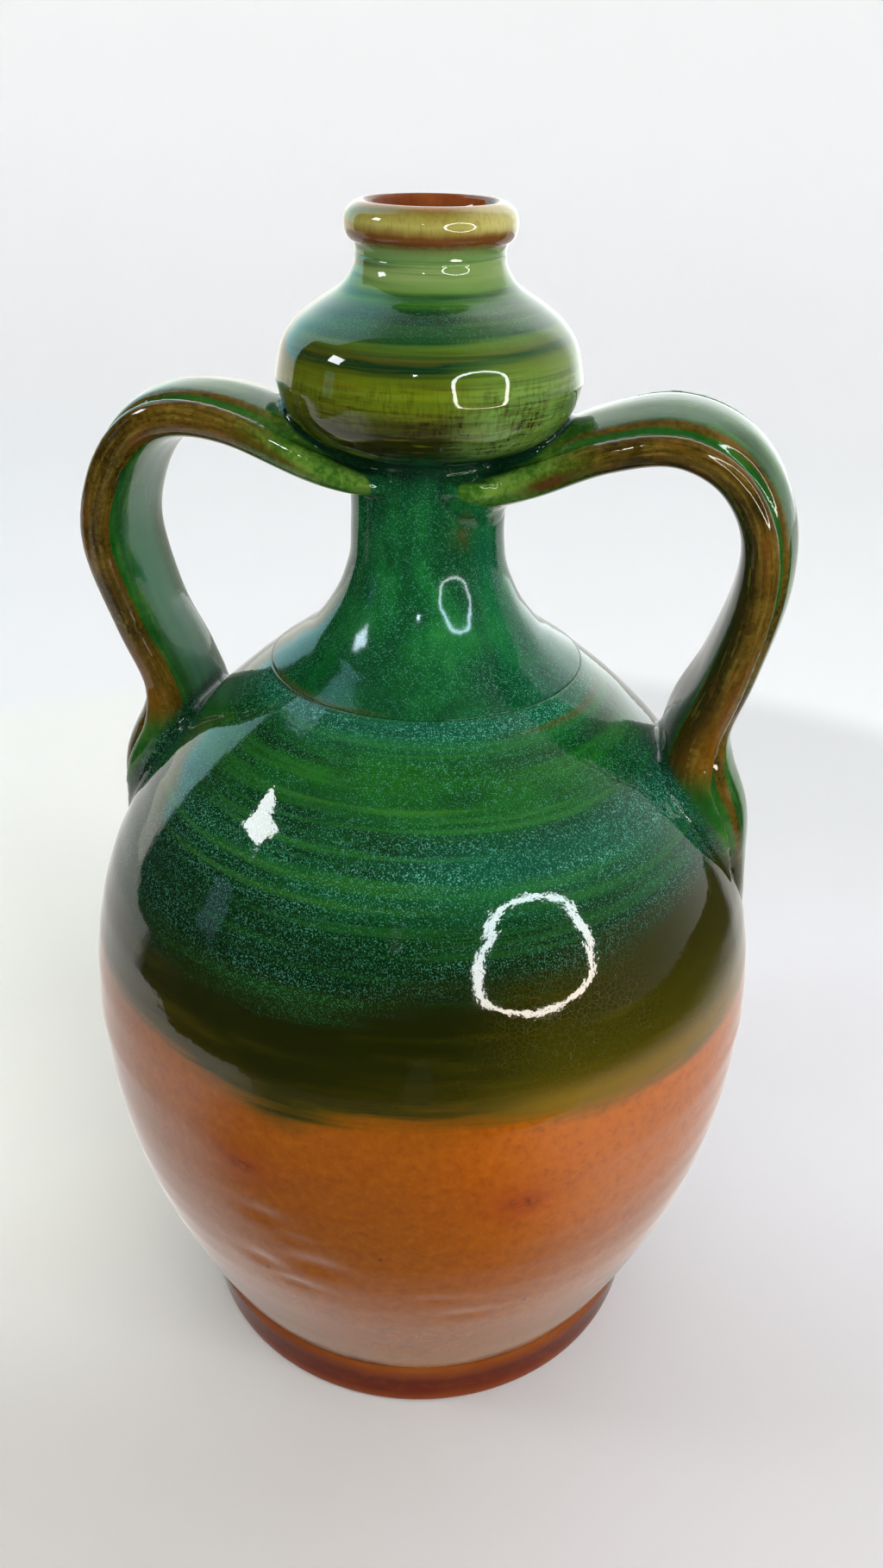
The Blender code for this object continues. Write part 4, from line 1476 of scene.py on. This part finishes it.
def aim_at_jug(thing, angle, up, away):
    """Put a lamp or card in a direction from the jug so that its face looks at it."""
    place = JUG_MIDDLE + room_direction(angle, up) * away
    turned = (JUG_MIDDLE - place).to_track_quat("-Z", "Y").to_matrix().to_4x4()
    thing.matrix_world = Matrix.Translation(place) @ turned
    return thing


def glow_material(name, light_of):
    """A material that only gives light, of the colour and strength that light_of works out."""
    material, shader = new_material(name)
    tree = shader.id_data
    tree.nodes.remove(shader)
    colour, strength = light_of(tree)
    glow = Signal.make(tree, "ShaderNodeEmission", values={"Color": colour, "Strength": strength})
    tree.links.new(glow.socket, tree.nodes["Material Output"].inputs["Surface"])
    return material


# %% The ring lamp, the window and a small spot
RING_RADII = (0.257, 0.294)
RING_SCALE = (1.04, 0.87, 1.0)
RING_STEPS = 96
RING_STRENGTH = 26.0


def ring_light(tree):
    """Warm at the ring's lower side and cool at its upper side."""
    upwards = coordinates(tree)[2]
    return upwards.step(-0.20, 0.20).mix((1.0, 0.90, 0.78, 1.0), (0.84, 0.95, 1.0, 1.0)), RING_STRENGTH


def ring_lamp():
    """A thin glowing ring at the right of the camera."""
    shape = spin_outline([(radius, 0) for radius in RING_RADII], False, RING_STEPS)
    bmesh.ops.scale(shape, vec=RING_SCALE, verts=shape.verts)
    ring = stage_piece("ring_lamp", shape, glow_material("ring_glow", ring_light))
    return aim_at_jug(ring, 39.0, 18.5, 0.80)


def card(name, angle, up, away, wide, tall, colour, strength):
    """A glowing card that looks at the jug."""
    shape = bmesh.new()
    bmesh.ops.create_grid(shape, x_segments=1, y_segments=1, size=0.5)
    bmesh.ops.scale(shape, vec=(wide, tall, 1.0), verts=shape.verts)
    made = stage_piece(name, shape, glow_material(name + "_glow", lambda tree: (colour, strength)))
    return aim_at_jug(made, angle, up, away)


lamps = [
    ring_lamp(),
    card("window", -80.0, 33.0, 1.05, 0.20, 0.17, (0.95, 0.98, 1.0, 1.0), 22.0),
    card("blind", -77.0, 12.0, 1.05, 0.17, 0.22, (0.45, 0.72, 1.0, 1.0), 0.7),
    card("small_spot", -10.0, 31.0, 1.0, 0.040, 0.04, (0.9, 0.97, 1.0, 1.0), 60.0),
    card("dark_hand", -9.0, 25.0, 0.275, 0.080, 0.075, BLACK, 0.0),
]
for lamp in lamps:
    lamp.visible_camera = False
    lamp.visible_shadow = False
lamps[-1].visible_diffuse = False

# %% What the glaze sees of the floor
def floor_light(tree):
    """Brightness of the floor in reflections: dim in front, and shaded near the foot."""
    surface = Surface(tree)
    ahead, side, away = surface.ahead, surface.aside, surface.radius
    near_foot = away.step(0.056, 0.080, 0.42, 1.0)
    across = ((side + 0.03 + ahead * 0.15) / (0.10 + ahead * 0.5)).math("ABSOLUTE")
    in_front = ahead.step(0.050, 0.120) * across.step(1.25, 0.55)
    past_left = away.step(0.385, 0.400) * side.step(0.05, -0.05)
    past_right = away.step(0.230, 0.420) * side.step(-0.05, 0.05)
    past_front = ahead.step(0.225, 0.245)
    before = (ahead + side * 0.25 + side.math("ABSOLUTE") * 0.40).step(-0.02, 0.04)
    dim = past_left.math("MAXIMUM", past_right) * before
    for shade in (past_front * 0.9, in_front * 0.85):
        dim = dim.math("MAXIMUM", shade)
    return (1.0, 0.985, 0.955, 1.0), near_foot * (dim * -0.94 + 1.0) * 0.92


shape = bmesh.new()
bmesh.ops.create_grid(shape, x_segments=1, y_segments=1, size=1.1)
bmesh.ops.translate(shape, vec=(0, 0, -0.0005), verts=shape.verts)
shine = stage_piece("floor_shine", shape, glow_material("floor_shine", floor_light))
for rays in ("camera", "diffuse", "shadow"):
    setattr(shine, "visible_" + rays, False)
floor.visible_glossy = False

# %% The room
def light_room():
    """Pale to the camera, level for diffuse light, dim in front for reflections."""
    world = bpy.data.worlds.new("room")
    world.use_nodes = True
    scene.world = world
    tree = world.node_tree
    _, x, y, up = coordinates(tree, "Generated")
    ahead, aside = from_front(x, y)
    angle = aside.math("ARCTAN2", ahead) * DEGREES
    left = (angle - up.step(0.48, 0.74) * 22.0).step(-118.0, -121.0)
    right = angle.step(75.0, 130.0) * 0.75 + angle.step(35.0, 80.0) * 0.25
    pale = (left + right) * up.step(0.98, 0.80, 0.35, 1.0)
    top = up.step(0.55, 0.85)
    level = pale + (1.0 - pale) * (0.035 + top * 0.10)
    under_top = up.step(0.98, 0.80)
    beyond = angle.step(126.0, 145.0) * under_top
    seen, gloss, through = (
        Signal.make(tree, "ShaderNodeLightPath", output=f"Is {kind} Ray")
        for kind in ("Camera", "Glossy", "Transmission")
    )
    mirrored = gloss.math("MAXIMUM", through)
    shown = level.mix(BLACK, WHITE)
    sky = angle.step(-140.0, -170.0).mix((0.95, 1.80, 1.95, 1.0), (2.2, 2.35, 2.2, 1.0))
    sky = up.step(-0.02, 0.12).mix((1.5, 1.45, 1.30, 1.0), sky)
    shown = (left * under_top).mix(shown, sky)
    shown = beyond.mix(shown, (2.2, 2.35, 2.3, 1.0))
    room = mirrored.mix((0.66, 0.66, 0.66, 1.0), shown)
    colour = seen.mix(room, (0.90, 0.905, 0.925, 1.0))
    tree.nodes["Background"].inputs["Strength"].default_value = 1.0
    tree.links.new(colour.socket, tree.nodes["Background"].inputs["Color"])


light_room()

# %% The soft key and fill
def area_lamp(name, angle, up, away, size, power, colour):
    """A soft square lamp that lights but doesn't show in the gloss."""
    data = bpy.data.lights.new(name, "AREA")
    data.shape = "SQUARE"
    data.size = size
    data.energy = power
    data.color = colour
    lamp = bpy.data.objects.new(name, data)
    scene.collection.objects.link(lamp)
    lamp.visible_glossy = False
    return aim_at_jug(lamp, angle, up, away)


area_lamp("key", 35.0, 50.0, 1.6, 0.9, 11.0, (1.0, 0.99, 0.97))
area_lamp("fill", -70.0, 40.0, 1.8, 1.2, 7.0, (0.97, 0.98, 1.0))
print("lamps:", ", ".join(sorted(light.name for light in bpy.data.lights)))

# %% [markdown]
# ## Colour as it is
# The Standard view shows a colour as it is written. The other settings stay as they are.

# %% Finish with the Standard view
scene.view_settings.view_transform = "Standard"
